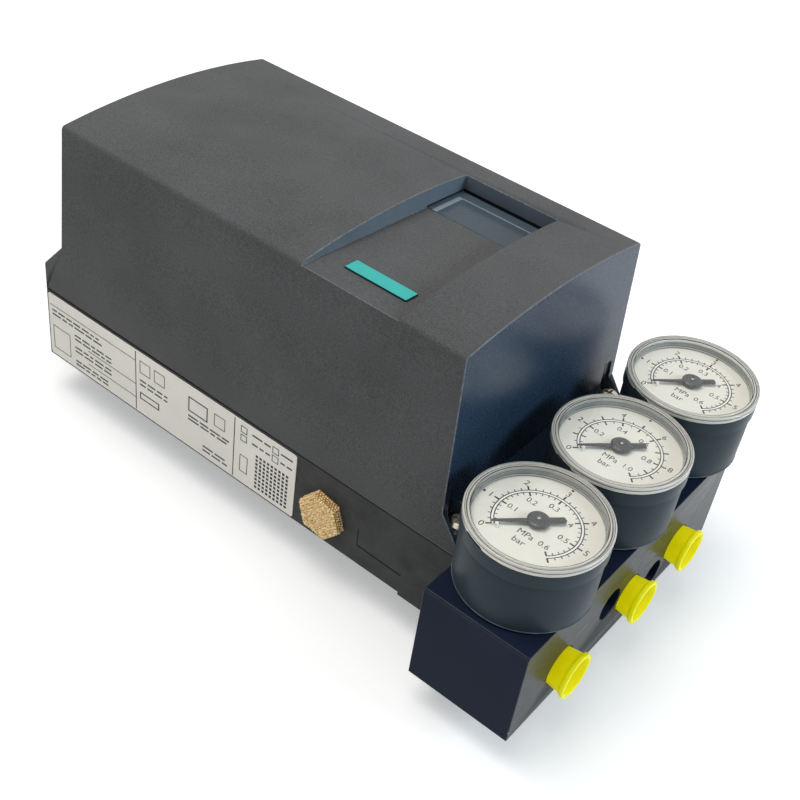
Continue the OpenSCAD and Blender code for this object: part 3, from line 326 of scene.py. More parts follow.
def polished(name, width, segments=3, angle=32, edge=None, plain=None, zones=()):
    """Copy of a CAD node with flat faces joined and edges bevelled, in place of the node.
    The bevels can have a material of their own, edges that plain picks stay as they are,
    and each zone gives the faces that it picks another material."""
    bm = bmesh.new()
    bm.from_mesh(NODES[name].data)
    bmesh.ops.remove_doubles(bm, verts=bm.verts, dist=WELD_CAD)
    bmesh.ops.dissolve_limit(bm, angle_limit=math.radians(1), verts=bm.verts, edges=bm.edges)
    weight = bm.edges.layers.float.new("bevel_weight_edge")
    for e in bm.edges:
        sharp = len(e.link_faces) == 2 and e.calc_face_angle() > math.radians(angle)
        if sharp and not (plain and plain(e)):
            e[weight] = 1.0
    obj = piece(name + "_skin", bm, MAT[SLOT[name]], BODY[name], (name,), angle)
    bevel = soften(obj, width, segments, angle, "WEIGHT" if edge else "ANGLE")
    if edge:
        obj.data.materials.append(edge)
        bevel.material = 1
    for picks, mat in zones:
        obj.data.materials.append(mat)
        for face in obj.data.polygons:
            if picks(face):
                face.material_index = len(obj.data.materials) - 1


def arc_corner(a, p, b, r, steps=5):
    """Corner p between a and b in a profile, rounded to radius r."""
    a, p, b = Vector(a), Vector(p), Vector(b)
    u, v = (a - p).normalized(), (b - p).normalized()
    half = math.acos(max(-1, min(1, u.dot(v)))) / 2
    centre = p + (u + v).normalized() * (r / math.sin(half))
    start = p + u * (r / math.tan(half)) - centre
    end = p + v * (r / math.tan(half)) - centre
    sweep = start.angle_signed(end)
    return [tuple(centre + Matrix.Rotation(-sweep * i / steps, 2) @ start) for i in range(steps + 1)]


def profile(*points):
    """Closed outline of (radius, height) points in mm; a third number rounds that corner."""
    out = []
    for i, p in enumerate(points):
        if len(p) > 2:
            out += arc_corner(points[i - 1][:2], p[:2], points[(i + 1) % len(points)][:2], p[2])
        else:
            out.append(p)
    return out


def turned(bm, outline, place, segments=128, shape=None):
    """Closed outline in mm turned about the Z axis, then put in place by a matrix.
    Shape may move a point: it gets radius, height and angle in degrees."""
    rings = []
    for i in range(segments):
        a = 360 * i / segments
        moved = [shape(r, h, a) if shape else (r, h) for r, h in outline]
        rings.append([bm.verts.new(place @ (Vector((*polar(r, a), h)) * MM)) for r, h in moved])
    count = len(outline)
    for one, two in zip(rings, rings[1:] + rings[:1]):
        for k in range(count):
            bm.faces.new((one[k], two[k], two[(k + 1) % count], one[(k + 1) % count]))
    bmesh.ops.remove_doubles(bm, verts=bm.verts, dist=WELD_TURNED)
    return bm


def prism(bm, points, low, high, place=Matrix.Identity(4)):
    """Solid between two heights on a plan outline, all in mm."""
    rows = [[bm.verts.new(place @ (Vector((x, y, z)) * MM)) for x, y in points] for z in (low, high)]
    count = len(points)
    bm.faces.new(rows[0][::-1])
    bm.faces.new(rows[1])
    for i in range(count):
        j = (i + 1) % count
        bm.faces.new((rows[0][i], rows[0][j], rows[1][j], rows[1][i]))
    return bm


def rect(x0, x1, y0, y1):
    return [(x0, y0), (x1, y0), (x1, y1), (x0, y1)]


def rounded_rect(x0, x1, y0, y1, r, steps=5):
    out = []
    corners = ((x1 - r, y1 - r), (x0 + r, y1 - r), (x0 + r, y0 + r), (x1 - r, y0 + r))
    for quarter, (cx, cy) in enumerate(corners):
        for i in range(steps + 1):
            dx, dy = polar(r, 90 * (quarter + i / steps))
            out.append((cx + dx, cy + dy))
    return out


def stroke(a, b, width):
    """Corners of a straight stroke between two plan points."""
    a, b = Vector(a), Vector(b)
    side = (b - a).normalized().orthogonal() * width / 2
    return [tuple(a - side), tuple(b - side), tuple(b + side), tuple(a + side)]


def flat_face(bm, points, z):
    """Flat face that looks up, at a height in mm."""
    face = bm.faces.new([bm.verts.new((x * MM, y * MM, z * MM)) for x, y in points])
    face.normal_update()
    if face.normal.z < 0:
        face.normal_flip()


def arc(bm, centre, r, width, start, end, z, steps=90):
    """Flat ring section between two angles, in mm and degrees."""
    rows = []
    for i in range(steps + 1):
        a = start + (end - start) * i / steps
        rows.append([tuple(Vector(centre) + Vector(polar(q, a))) for q in (r - width / 2, r + width / 2)])
    for one, two in zip(rows, rows[1:]):
        flat_face(bm, (one[0], one[1], two[1], two[0]), z)


def words(bm, text, size, at, z):
    """Flat numerals or letters in mm, centred at a point and lying at height z."""
    curve = bpy.data.curves.new("numeral", "FONT")
    curve.body = text
    curve.size = size * MM
    curve.align_x = "CENTER"
    curve.align_y = "CENTER"
    curve.resolution_u = 3
    holder = bpy.data.objects.new("numeral", curve)
    SCENE.collection.objects.link(holder)
    mesh = bpy.data.meshes.new_from_object(holder.evaluated_get(bpy.context.evaluated_depsgraph_get()))
    mesh.transform(shift(*at, z))
    bm.from_mesh(mesh)
    bpy.data.objects.remove(holder)
    bpy.data.curves.remove(curve)
    bpy.data.meshes.remove(mesh)


# Housing, block and fittings: the CAD solids with bevelled edges, a painted highlight on the cover's
# bevels, lighter bevels and bare nicks on the block, and faces in other colours that paint light, shade and
# reflection

# In mm: how near a point counts as on a plane, where the cover's gauge end starts, and the longest
# edge that counts as short
ON_PLANE = 0.3
COVER_END_X = 70
SHORT_EDGE = 0.5

# Bevels in mm of the smaller fittings
EDGE_WIDTHS = {"cover_screws": 0.25, "cable_gland_body": 0.5, "cable_gland_nut": 0.6, "blanking_plug": 0.5,
               "block_screws": 0.35, "channel_plug": 0.3, "feedback_shaft": 0.3, "shaft_ring": 0.12}


def near(value, mm):
    return abs(value - mm * MM) < ON_PLANE * MM


def is_end_face(face):
    return face.normal.x > 0.5 and face.center.x > COVER_END_X * MM


def is_recess_side(face):
    return face.normal.x > 0.9 and near(face.center.x, RECESS_X0)


def is_recess_wall(face):
    return face.normal.y < -0.9 and near(face.center.y, RECESS_FAR)


def is_port_face(face):
    return face.normal.x > 0.99


def stays_plain(edge):
    """Edges of the recess with no bevel: its gauge side, and short ones where a bevel would fold."""
    on_gauge_side = all(near(v.co.x, RECESS_X1) for v in edge.verts)
    on_cable_side = all(near(v.co.x, RECESS_X0) for v in edge.verts)
    return on_gauge_side or (on_cable_side and edge.calc_length() < SHORT_EDGE * MM)


def block_nicks():
    """Bare specks along the worn lower part of the block's near edge."""
    rng = random.Random(11)
    inset = 0.27
    heights = (-1.6, 0.4, 1.0, 4.6, 5.2, 6.1, 9.8)
    bm = bmesh.new()
    for z in heights:
        r = rng.uniform(0.22, 0.38)
        place = shift(block_high.x - inset, block_low.y + inset, z) @ turn(45, "Z")
        shape = Matrix.Diagonal((0.5, 0.9, rng.uniform(1.0, 2.2), 1))
        bmesh.ops.create_icosphere(bm, subdivisions=2, radius=r * MM, matrix=place @ shape)
    piece("block_nicks", bm, BARE_NICK)


# The cover's bevels take a painted highlight, its gauge end face painted shade, and the recess's cable-side
# and far walls painted light
polished("housing_cover", 0.3, segments=2, angle=40, edge=COVER_EDGE_HIGHLIGHT, plain=stays_plain,
         zones=((is_end_face, COVER_END_PAINTED_SHADE), (is_recess_side, RECESS_SIDE_PAINTED_LIGHT), (is_recess_wall, RECESS_WALL_PAINTED_LIGHT)))
polished("base_housing", 0.4)
# The block's port face takes a painted reflection
polished("gauge_block", 0.25, segments=2, angle=40, edge=BLOCK_EDGE, zones=((is_port_face, PORT_FACE_PAINTED_REFLECTION),))
for name, width in EDGE_WIDTHS.items():
    polished(name, width)
block_nicks()


# Display recess: window, its printed border, painted shadow in the gap around it, a painted highlight up
# its corner, and the badge

def arch_z(y):
    """Height of the cover's arched top at a place across it."""
    return CROWN_Z - ARCH_R + math.sqrt(ARCH_R ** 2 - (y - CROWN_Y) ** 2)


def recess_floor():
    """Place of the tilted recess floor, X from its cable side and Y from its near edge, and its width."""
    corner = Vector((RECESS_X0, -TOP_HALF_W, CROWN_Z - RECESS_NEAR_DROP))
    rise = arch_z(RECESS_FAR) - RECESS_DEPTH - corner.z
    run = RECESS_FAR - corner.y
    tilt = Matrix.Rotation(math.atan2(rise, run), 4, "X")
    return Matrix.Translation(corner * MM) @ tilt, math.hypot(rise, run)


RECESS, RECESS_W = recess_floor()
WINDOW_W = 18.9
WINDOW_GAP = 0.9
WINDOW_FAR = RECESS_W - WINDOW_GAP
WINDOW_NEAR = WINDOW_FAR - WINDOW_W

# Printed border: insets from the recess's sides, then places along it
MASK_EDGE, MASK_SIDE, LINE_SIDE = 0.4, 2.0, 3.7
MASK_FAR, MASK_REACH, LINE_REACH = WINDOW_FAR - 0.1, WINDOW_FAR - 4.2, WINDOW_FAR - 4.8


def window_pane():
    side, low, high = 0.3, -1.95, -0.05
    outline = rounded_rect(side, RECESS_L - side, WINDOW_NEAR, WINDOW_FAR, 0.5)
    pane = piece("display_window_pane", prism(bmesh.new(), outline, low, high, RECESS), MAT["window_clear"],
                 stands_for=("display_window",))
    soften(pane, 0.25, 2)


def window_stripe(name, mat, outer, inner, reach, far):
    """Printed stripe down both sides, from outer to inner, and along the far edge, from reach to far."""
    low, high = -0.06, -0.03
    start = WINDOW_NEAR + 0.1
    bm = bmesh.new()
    for area in ((outer, RECESS_L - outer, reach, far), (outer, inner, start, reach),
                 (RECESS_L - inner, RECESS_L - outer, start, reach)):
        prism(bm, rect(*area), low, high, RECESS)
    piece(name, bm, mat)


def window_gap():
    """Painted shadow: dark strips up the far wall, in the gap before it and along the foot of the
    cable-side wall.
    """
    side, skin, bottom = 0.05, 0.02, -0.7
    wall_y, gap_y = RECESS_W - 0.08, RECESS_W - 0.1
    bm = prism(bmesh.new(), rect(side, RECESS_L - side, wall_y, RECESS_W - skin), bottom, 0.6, RECESS)
    prism(bm, rect(side, RECESS_L - side, WINDOW_FAR - 0.05, gap_y), bottom, bottom + 0.1, RECESS)
    prism(bm, rect(skin, skin + 0.05, WINDOW_NEAR, gap_y), -0.04, 0.4, RECESS)
    piece("window_gap", bm, DARK_SEAM_AND_PAINTED_SHADOW)


def recess_corner():
    """Painted highlight: a pale fillet up the corner of the far and cable-side walls."""
    skin, leg = 0.02, 0.35
    low, high = 0.9, RECESS_DEPTH - 0.5
    corner = ((skin, RECESS_W - leg), (leg, RECESS_W - skin), (skin, RECESS_W - skin))
    piece("recess_corner", prism(bmesh.new(), corner, low, high, RECESS), COVER_EDGE_HIGHLIGHT)


def badge():
    x0, x1, y0, y1 = 8.2, 30.7, 9.2, 15.0
    inset, rise, face = 0.2, 0.5, 0.08
    body = piece("badge_body", prism(bmesh.new(), rounded_rect(x0, x1, y0, y1, 0.35), 0.0, rise, RECESS),
                 BADGE_EDGE, stands_for=("badge_plate",))
    soften(body, 0.1, 2)
    outline = rounded_rect(x0 + inset, x1 - inset, y0 + inset, y1 - inset, 0.3)
    front = piece("badge_face", prism(bmesh.new(), outline, rise, rise + face, RECESS), MAT["badge_teal"])
    soften(front, 0.04, 2)


window_pane()
window_stripe("window_band", WINDOW_BAND, MASK_EDGE, MASK_SIDE, MASK_REACH, MASK_FAR)
window_stripe("window_line", WINDOW_LINE, MASK_SIDE, LINE_SIDE, LINE_REACH, MASK_REACH)
window_gap()
recess_corner()
badge()


# Rating label: plain foil with ruled boxes

# Plane of the housing's near long side, X along it and Y up
SIDE = shift(0, -HALF_W, 0) @ turn(90, "X")
LABEL_T = 0.26
LABEL_W = label_high.x - label_low.x
LABEL_H = label_high.z - label_low.z
ON_LABEL = SIDE @ shift(label_low.x, label_low.z, LABEL_T)
PRINT_X = 0.45
PRINT = ON_LABEL @ shift(PRINT_X, 0, 0)
PRINT_LOW, PRINT_HIGH = 0.002, 0.025
THIN, BOLD = 0.3, 0.5

# Places of the print, in mm from its own left end and the label's lower edge. A rule has its start
# and height, a group of bars its ends and the heights of its rows, and a box its sides and line width.
DIVIDERS = (44.5, 91.2)
RULES = ((0.4, 21.8), (20, 11.6), (20, 5.8))
RULE_END = 44.3
BARS = ((1.4, 28, (19.8, 18.1)), (13, 32, (14.8, 13.1, 9.6, 7.9)), (13, 30, (3.6, 2.1)),
        (46.5, 60, (14.6, 12.8)), (70, 89, (13.6, 12.1)), (77, 89, (4.4, 2.7)),
        (99, 107, (23.2, 19.6)), (111.5, 116.5, (23.2, 19.6)))
BOXES = [(1.4, 10.4, 3.2, 13.2, THIN), (46.5, 51.7, 17.8, 23.0, THIN), (53.5, 58.7, 17.8, 23.0, THIN),
         (46.5, 56, 6.4, 9.4, BOLD), (70, 79, 15.6, 21.8, BOLD), (82, 87, 16.6, 21.8, THIN),
         (94, 97.6, 4.8, 12.0, THIN)]
SMALL_BOX = 2.8
SMALL_BOXES = [(x, x + SMALL_BOX, z, z + SMALL_BOX, THIN) for x in (94, 107.8) for z in (21.6, 18.0)]
GRID_COUNT, GRID_DOT, GRID_PITCH = 9, 1.0, 1.65
GRID_X, GRID_Z = 101, 1.8


def label_box(bm, x0, x1, z0, z1):
    prism(bm, rect(x0, x1, z0, z1), PRINT_LOW, PRINT_HIGH, PRINT)


def label_frame(bm, x0, x1, z0, z1, w):
    """Empty box with lines of width w."""
    for a, b, c, d in ((x0, x1, z0, z0 + w), (x0, x1, z1 - w, z1), (x0, x0 + w, z0 + w, z1 - w),
                       (x1 - w, x1, z0 + w, z1 - w)):
        label_box(bm, a, b, c, d)


def label_bars(bm, x0, x1, z, rng):
    """Row of plain bars of uneven length."""
    half, gap, least = 0.32, 0.8, 1.5
    x = x0
    while x < x1 - least:
        w = min(rng.uniform(1.6, 5.0), x1 - x)
        label_box(bm, x, x + w, z - half, z + half)
        x += w + gap


def label_art():
    """Dividers, rules, empty boxes, plain bars and a grid of dots."""
    rng = random.Random(3)
    margin, half_divider, half_rule = 0.6, 0.2, 0.14
    bm = bmesh.new()
    for x in DIVIDERS:
        label_box(bm, x - half_divider, x + half_divider, margin, LABEL_H - margin)
    for x0, z in RULES:
        label_box(bm, x0, RULE_END, z - half_rule, z + half_rule)
    for x0, x1, rows in BARS:
        for z in rows:
            label_bars(bm, x0, x1, z, rng)
    for box in BOXES + SMALL_BOXES:
        label_frame(bm, *box)
    for i in range(GRID_COUNT):
        for k in range(GRID_COUNT):
            x, z = GRID_X + GRID_PITCH * i, GRID_Z + GRID_PITCH * k
            label_box(bm, x, x + GRID_DOT, z, z + GRID_DOT)
    piece("label_art", bm, LABEL_INK)


def label():
    outline = rounded_rect(0, LABEL_W, 0, LABEL_H, 0.9)
    sheet = piece("label_sheet", prism(bmesh.new(), outline, -LABEL_T, 0.0, ON_LABEL), MAT["label_foil"],
                  stands_for=("rating_label",))
    soften(sheet, 0.06, 2)
    label_art()


label()


# Silencer of sintered grains on a darker core that paints shade between them, and the moulded line beside
# it

SILENCER_PROUD = -HALF_W - silencer_low.y
SILENCER_HALF = SILENCER_AF / 2
SILENCER_R = SILENCER_HALF / math.cos(math.radians(30))
SILENCER_MID = (silencer_low + silencer_high) / 2
ON_SILENCER = SIDE @ shift(SILENCER_MID.x, SILENCER_MID.z, 0) @ turn(SILENCER_TURN, "Z")
HEX_CORNERS = [Vector(polar(1, 60 * k)) for k in range(6)]
HEX_NORMALS = [Vector(polar(1, 60 * k + 30)) for k in range(6)]
FULL_TURN = 6.28  # radians


def silencer_core():
    """Core just under the grains, in a darker bronze that paints shade into the gaps between them, and the
    spigot in the base.
    """
    inset, drop, foot = 0.55, 0.5, 0.02
    spigot_r, spigot_l, sides = 6, 7.5, 24
    hexagon = [tuple(c * (SILENCER_R - inset)) for c in HEX_CORNERS]
    bm = prism(bmesh.new(), hexagon, foot, SILENCER_PROUD - drop, ON_SILENCER)
    prism(bm, [polar(spigot_r, 360 / sides * k) for k in range(sides)], -spigot_l, 0.0, ON_SILENCER)
    piece("silencer_core", bm, SILENCER_CORE_PAINTED_SHADE, stands_for=("silencer",))


def add_grain(bm, rng, x, y, z, r):
    """One uneven ball."""
    axis = Vector((rng.uniform(-1, 1), rng.uniform(-1, 1), rng.uniform(-1, 1)))
    shape = Matrix.Diagonal((rng.uniform(0.75, 1), rng.uniform(0.75, 1), rng.uniform(0.85, 1), 1))
    spin = Matrix.Rotation(rng.uniform(0, FULL_TURN), 4, axis)
    place = ON_SILENCER @ shift(x, y, z) @ spin @ shape
    bmesh.ops.create_icosphere(bm, subdivisions=2, radius=r * MM, matrix=place)


def silencer_grains():
    """Staggered rows of grains over the face, then around the six sides."""
    rng = random.Random(7)
    pitch, row_pitch, jitter = 0.92, 0.87, 0.22
    bm = bmesh.new()
    steps = int(SILENCER_R / pitch) + 2
    for i in range(-steps, steps + 1):
        for k in range(-steps, steps + 1):
            x = (i + 0.5 * (k % 2)) * pitch + rng.uniform(-jitter, jitter)
            y = k * pitch * row_pitch + rng.uniform(-jitter, jitter)
            r = rng.uniform(0.48, 0.68)
            reach = max(Vector((x, y)).dot(normal) for normal in HEX_NORMALS)
            if reach < SILENCER_HALF - r:
                add_grain(bm, rng, x, y, SILENCER_PROUD - r - rng.uniform(0.0, 0.25), r)
    side_rows, side_grains, side_span, side_pitch, foot = 4, 9, 9.6, 0.85, 0.06
    for k in range(6):
        a, b = HEX_CORNERS[k] * SILENCER_R, HEX_CORNERS[(k + 1) % 6] * SILENCER_R
        inward = -(a + b).normalized()
        for row in range(side_rows):
            for n in range(side_grains):
                r = rng.uniform(0.42, 0.55)
                along = (n + 0.5 * (row % 2) + rng.uniform(0.15, 0.45)) / side_span
                q = a.lerp(b, along) + inward * r
                add_grain(bm, rng, q.x, q.y, r + row * side_pitch + rng.uniform(-0.08, 0.08) + foot, r)
    piece("silencer_grains", bm, MAT["sintered_bronze"])


def base_line():
    """Moulded line on the base: a thin upright stroke and a thick one along the foot."""
    top, corner, end = (54.5, 14.5), (54.7, 7.7), (72.4, 7.3)
    sunk, proud = -0.05, 0.012
    bm = prism(bmesh.new(), stroke(top, corner, 0.35), sunk, proud, SIDE)
    prism(bm, stroke(corner, end, 0.7), sunk, proud, SIDE)
    piece("base_line", bm, DARK_SEAM_AND_PAINTED_SHADOW)


silencer_core()
silencer_grains()
base_line()


# Air port caps

def port_cup(i):
    """Thin yellow cup whose rim flares out past the port."""
    name = f"port_cap_{i}"
    low, high = box_mm(name)
    proud = high.x - low.x - CAP_BITE
    rim = (high.y - low.y) / 2
    flare, wall, floor = 1.22, 1.25, 1.3
    bite = rim - flare
    outline = profile((0, -CAP_BITE), (bite - 0.5, -CAP_BITE), (bite, 1 - CAP_BITE), (bite, 0.35, 0.25),
                      (rim - 0.75, proud - 2, 0.4), (rim, proud - 1.3, 0.3), (rim, proud, 0.35),
                      (rim - wall, proud, 0.35), (bite - wall, -1.0, 0.6),
                      (bite - 1.4, floor - CAP_BITE, 0.5), (0, floor - CAP_BITE))
    place = shift(low.x + CAP_BITE, (low.y + high.y) / 2, (low.z + high.z) / 2) @ turn(90, "Y")
    piece(f"port_cup_{i}", turned(bmesh.new(), outline, place, 96), MAT["cap_yellow"], BODY[name],
          (name,))


for i in GAUGES:
    port_cup(i)


# Gauges

RIM_SEGMENTS = 180
NOTCH_START, NOTCH_END = 239, 258  # degrees
NOTCH_TOP = LENS_TOP - 1.4
RIM_LOW = LENS_TOP - 2.1
RIM_INNER = LENS_R - 2


def case(i, place):
    """Cup with a neck for the lens and a seat for the dial, and a pale ring at its foot, a painted
    highlight.
    """
    lip = DIAL_Z + 1.8
    seat_r, seat_z = DIAL_R + 0.08, DIAL_Z - 0.02
    bore_r = CASE_R - 2.7
    floor = CASE_FOOT + 2.2
    outline = profile((STEM_R, CASE_FOOT), (CASE_R - 0.1, CASE_FOOT, 0.35), (CASE_R, CASE_FOOT + 8),
                      (CASE_R, CASE_TOP - 0.2, 0.25), (NECK_R, CASE_TOP, 0.1), (NECK_R, lip, 0.15),
                      (seat_r, lip, 0.15), (seat_r, seat_z), (bore_r, seat_z, 0.2),
                      (bore_r, floor, 0.8), (STEM_R, floor))
    piece(f"gauge_cup_{i}", turned(bmesh.new(), outline, place), MAT["case_plastic"],
          stands_for=(f"gauge_case_{i}",))
    edge_in, edge_out, edge_top = CASE_R - 0.5, CASE_R + 0.03, CASE_FOOT + 0.4
    outline = profile((edge_in, CASE_FOOT), (edge_out, CASE_FOOT, 0.1), (edge_out, edge_top, 0.1),
                      (edge_in, edge_top))
    piece(f"case_foot_{i}", turned(bmesh.new(), outline, place), CASE_FOOT_HIGHLIGHT)


def notch(r, h, a):
    """Pry slot under the rim of a lens."""
    in_slot = NOTCH_START < a < NOTCH_END and h < NOTCH_TOP
    return r, NOTCH_TOP if in_slot else h


def hoops(name, mat, place, *sections):
    """Rings of rectangular section, each from two radii and two heights in mm."""
    bm = bmesh.new()
    for section in sections:
        turned(bm, rect(*section), place, RIM_SEGMENTS)
    piece(name, bm, mat)


def lens(i, place):
    """Part-clear rim with a groove around its top, whose near-white part paints reflections, a dark skirt
    where the case shows through, and a pane.
    """
    outer = LENS_R - 0.01
    groove, shelf = LENS_TOP - 0.45, LENS_TOP - 0.15
    rim = profile((outer, RIM_LOW, 0.12), (outer, LENS_TOP, 0.5), (LENS_R - 0.85, LENS_TOP, 0.18),
                  (LENS_R - 1, groove, 0.12), (LENS_R - 1.3, groove, 0.1), (LENS_R - 1.45, shelf, 0.15),
                  (RIM_INNER, shelf, 0.12), (RIM_INNER, RIM_LOW + 0.1, 0.1))
    piece(f"lens_rim_{i}", turned(bmesh.new(), rim, place, RIM_SEGMENTS, notch), MAT["lens_clear"],
          stands_for=(f"gauge_lens_{i}",))
    skirt_r, skirt_top = NECK_R + 0.1, RIM_LOW - 0.02
    skirt = profile((LENS_R, CASE_TOP, 0.15), (LENS_R, skirt_top), (skirt_r, skirt_top),
                    (skirt_r, CASE_TOP, 0.1))
    piece(f"lens_skirt_{i}", turned(bmesh.new(), skirt, place, RIM_SEGMENTS), LENS_SKIRT)
    lens_rings(i, place)
    pane_r, pane_low, pane_top = RIM_INNER - 0.01, LENS_TOP - 1.2, LENS_TOP - 0.3
    pane = profile((0, pane_low), (pane_r, pane_low), (pane_r, pane_top, 0.1), (0, pane_top))
    piece(f"lens_pane_{i}", turned(bmesh.new(), pane, place), LENS_PANE)


def lens_rings(i, place):
    """Painted reflections of the lens: dark lines around the rim, and the bright and grey rings inside it,
    over the dial's edge.
    """
    foot, glint, line = DIAL_TOP + 0.05, DIAL_TOP + 0.45, DIAL_TOP + 0.85
    step = line + 0.2
    hoops(f"lens_reflection_lines_{i}", RIM_REFLECTION_LINE, place,
          (LENS_R - 0.1, LENS_R, LENS_TOP - 0.95, LENS_TOP - 0.72),
          (LENS_R - 0.67, LENS_R - 0.51, LENS_TOP - 0.1, LENS_TOP + 0.004),
          (LENS_R - 1.3, LENS_R - 1.0, LENS_TOP - 0.5, LENS_TOP - 0.44),
          (RIM_INNER - 0.005, RIM_INNER + 0.14, LENS_TOP - 0.4, LENS_TOP - 0.145),
          (DIAL_R - 0.33, DIAL_R, line, step))
    hoops(f"lens_glint_{i}", MAT["lens_clear"], place, (DIAL_R - 0.35, DIAL_R, glint, line))
    hoops(f"lens_step_{i}", RIM_REFLECTION_BAND, place, (DIAL_R - 0.37, DIAL_R, foot, glint),
          (DIAL_R - 0.3, DIAL_R, step, LENS_TOP - 1.3))


def dial(i, place):
    """Dial plate and its zero stop."""
    hole_r, pin_r = 1.5, 0.5
    plate = profile((hole_r, DIAL_Z), (DIAL_R, DIAL_Z, 0.1), (DIAL_R, DIAL_TOP, 0.15),
                    (hole_r, DIAL_TOP, 0.1))
    piece(f"dial_plate_{i}", turned(bmesh.new(), plate, place), MAT["dial_cream"],
          stands_for=(f"gauge_dial_{i}",))
    pin = profile((0, DIAL_TOP - 0.1), (pin_r, DIAL_TOP - 0.1), (pin_r, DIAL_TOP + 1.65, 0.2),
                  (0, DIAL_TOP + 1.7))
    spot = place @ shift(*polar(11.8, DIAL_ZERO + 6.6), 0)
    piece(f"stop_pin_{i}", turned(bmesh.new(), pin, spot, 24), STOP_PIN)


# Dial print: radii, lengths and letter sizes in mm
RING_R, RING_HALF, RING_LINE = 12.42, 0.42, 0.3
BAND_Z, RING_Z, TICK_Z = DIAL_TOP + 0.012, DIAL_TOP + 0.016, DIAL_TOP + 0.018
RING_OVERRUN = 0.6  # degrees
BAR_SIZE, BAR_R = 3.0, 15.7
MPA_SIZE, MPA_R = 2.75, 8.3
UNIT_SIZE, UNIT_R = 3.0, {"MPa": 5.9, "bar": 9.3}
DOT_R, DOT_PLACE, DOT_SIDES = 0.42, 17.9, 16

# Ticks: radius of the outer end, radius of the inner end, and width
LONG_TICK = (14.45, 10.4, 0.52)
SHORT_TICK = (13.75, 11.1, 0.29)

# Scales: last value in bar, step between numbers, and ticks for each bar
NARROW_SCALE = (6, 1, 5)
WIDE_SCALE = (10, 2, 2)


def print_dial(i, cx, cy):
    """Rings, ticks and numbers of one dial, with bar outside and MPa inside."""
    last, step, minor = WIDE_SCALE if i == 2 else NARROW_SCALE
    start, end = DIAL_ZERO + RING_OVERRUN, DIAL_ZERO - DIAL_SWEEP - RING_OVERRUN
    bm = bmesh.new()
    arc(bm, (cx, cy), RING_R, 2 * RING_HALF, start, end, BAND_Z)
    piece(f"dial_band_{i}", bm, DIAL_BAND)
    bm = bmesh.new()
    for r in (RING_R - RING_HALF, RING_R + RING_HALF):
        arc(bm, (cx, cy), r, RING_LINE, start, end, RING_Z)

    def at(r, a):
        dx, dy = polar(r, a)
        return cx + dx, cy + dy

    def angle(value):
        return DIAL_ZERO - DIAL_SWEEP * value / last

    for k in range(last * minor + 1):
        a = angle(k / minor)
        outer, inner, width = LONG_TICK if k % minor == 0 else SHORT_TICK
        flat_face(bm, stroke(at(RING_R + RING_HALF, a), at(outer, a), width), TICK_Z)
        flat_face(bm, stroke(at(RING_R - RING_HALF, a), at(inner, a), width), TICK_Z)
    for value in range(0, last, step):
        words(bm, str(value), BAR_SIZE, at(BAR_R, angle(value)), TICK_Z)
    for value in range(step, last + 1, step):
        words(bm, f"{value / 10:.1f}", MPA_SIZE, at(MPA_R, angle(value)), TICK_Z)
    for unit, r in UNIT_R.items():
        words(bm, unit, UNIT_SIZE, at(r, -90), TICK_Z)
    for a in (180, 90):
        x, y = at(DOT_PLACE, a)
        dot = [polar(DOT_R, 360 / DOT_SIDES * k) for k in range(DOT_SIDES)]
        prism(bm, [(x + dx, y + dy) for dx, dy in dot], BAND_Z - 0.01, BAND_Z + 0.02)
    piece(f"dial_print_{i}", bm, DIAL_INK)


# Stations along a pointer's blade: place, half width and rise of the ridge, in mm
BLADE = ((-7.6, 1.12, 0.30), (-7.45, 1.2, 0.42), (-2.5, 1.12, 0.42), (2.5, 0.95, 0.42), (12.6, 0.42, 0.36),
         (13.3, 0.22, 0.2))
RIDGE = 0.35


def pointer(i, place):
    """Ridged blade, and a hub on its arbor with a bright pin."""
    body, slot = f"pointer_{i}", "pointer_black"
    low, high = DIAL_TOP + 1.06, DIAL_TOP + 1.2
    along = place @ turn(DIAL_ZERO, "Z")
    bm = bmesh.new()
    rows = []
    for x, half, rise in BLADE:
        ridge, top = half * RIDGE, high + rise
        section = ((-half, low), (-half, high), (-ridge, top), (ridge, top), (half, high), (half, low))
        rows.append([bm.verts.new(along @ (Vector((x, y, z)) * MM)) for y, z in section])
    for one, two in zip(rows, rows[1:]):
        for k in range(6):
            bm.faces.new((one[k], one[(k + 1) % 6], two[(k + 1) % 6], two[k]))
    bm.faces.new(rows[0])
    bm.faces.new(rows[-1])
    soften(piece(f"pointer_blade_{i}", bm, MAT["pointer_black"], body, angle=25), 0.06, 2, 20)
    z = DIAL_TOP
    hub = profile((0, z + 0.52), (2.9, z + 0.52), (3.2, z + 0.8, 0.15), (3.2, z + 1.6, 0.25),
                  (2.7, z + 1.9, 0.2), (1.5, z + 1.9, 0.1), (1.3, z + 1.75, 0.1), (0.62, z + 1.75, 0.05),
                  (0.62, z + 1.95, 0.1), (0, z + 1.95))
    arbor_r, arbor_low, arbor_top = 0.6, CASE_FOOT + 6.2, z + 0.7
    arbor = profile((0, arbor_low), (arbor_r, arbor_low), (arbor_r, arbor_top), (0, arbor_top))
    bm = turned(turned(bmesh.new(), hub, place, 64), arbor, place, 24)
    piece(f"pointer_hub_{i}", bm, MAT["pointer_black"], body, (f"gauge_pointer_{i}",))
    tip = profile((0, z + 1.98), (0.42, z + 1.98), (0.42, z + 2.08, 0.05), (0.25, z + 2.1), (0, z + 2.1))
    piece(f"pointer_pin_{i}", turned(bmesh.new(), tip, place, 24), MAT["screw_steel"], body)


for i, y in zip(GAUGES, GAUGE_Y):
    centre = shift(GAUGE_X, y, 0)
    case(i, centre)
    lens(i, centre)
    dial(i, centre)
    print_dial(i, GAUGE_X, y)
    pointer(i, centre)


# Every CAD node that still shows takes its slot's material

for name, obj in NODES.items():
    obj.data.materials.clear()
    obj.data.materials.append(MAT[SLOT[name]])


# Stage, in metres

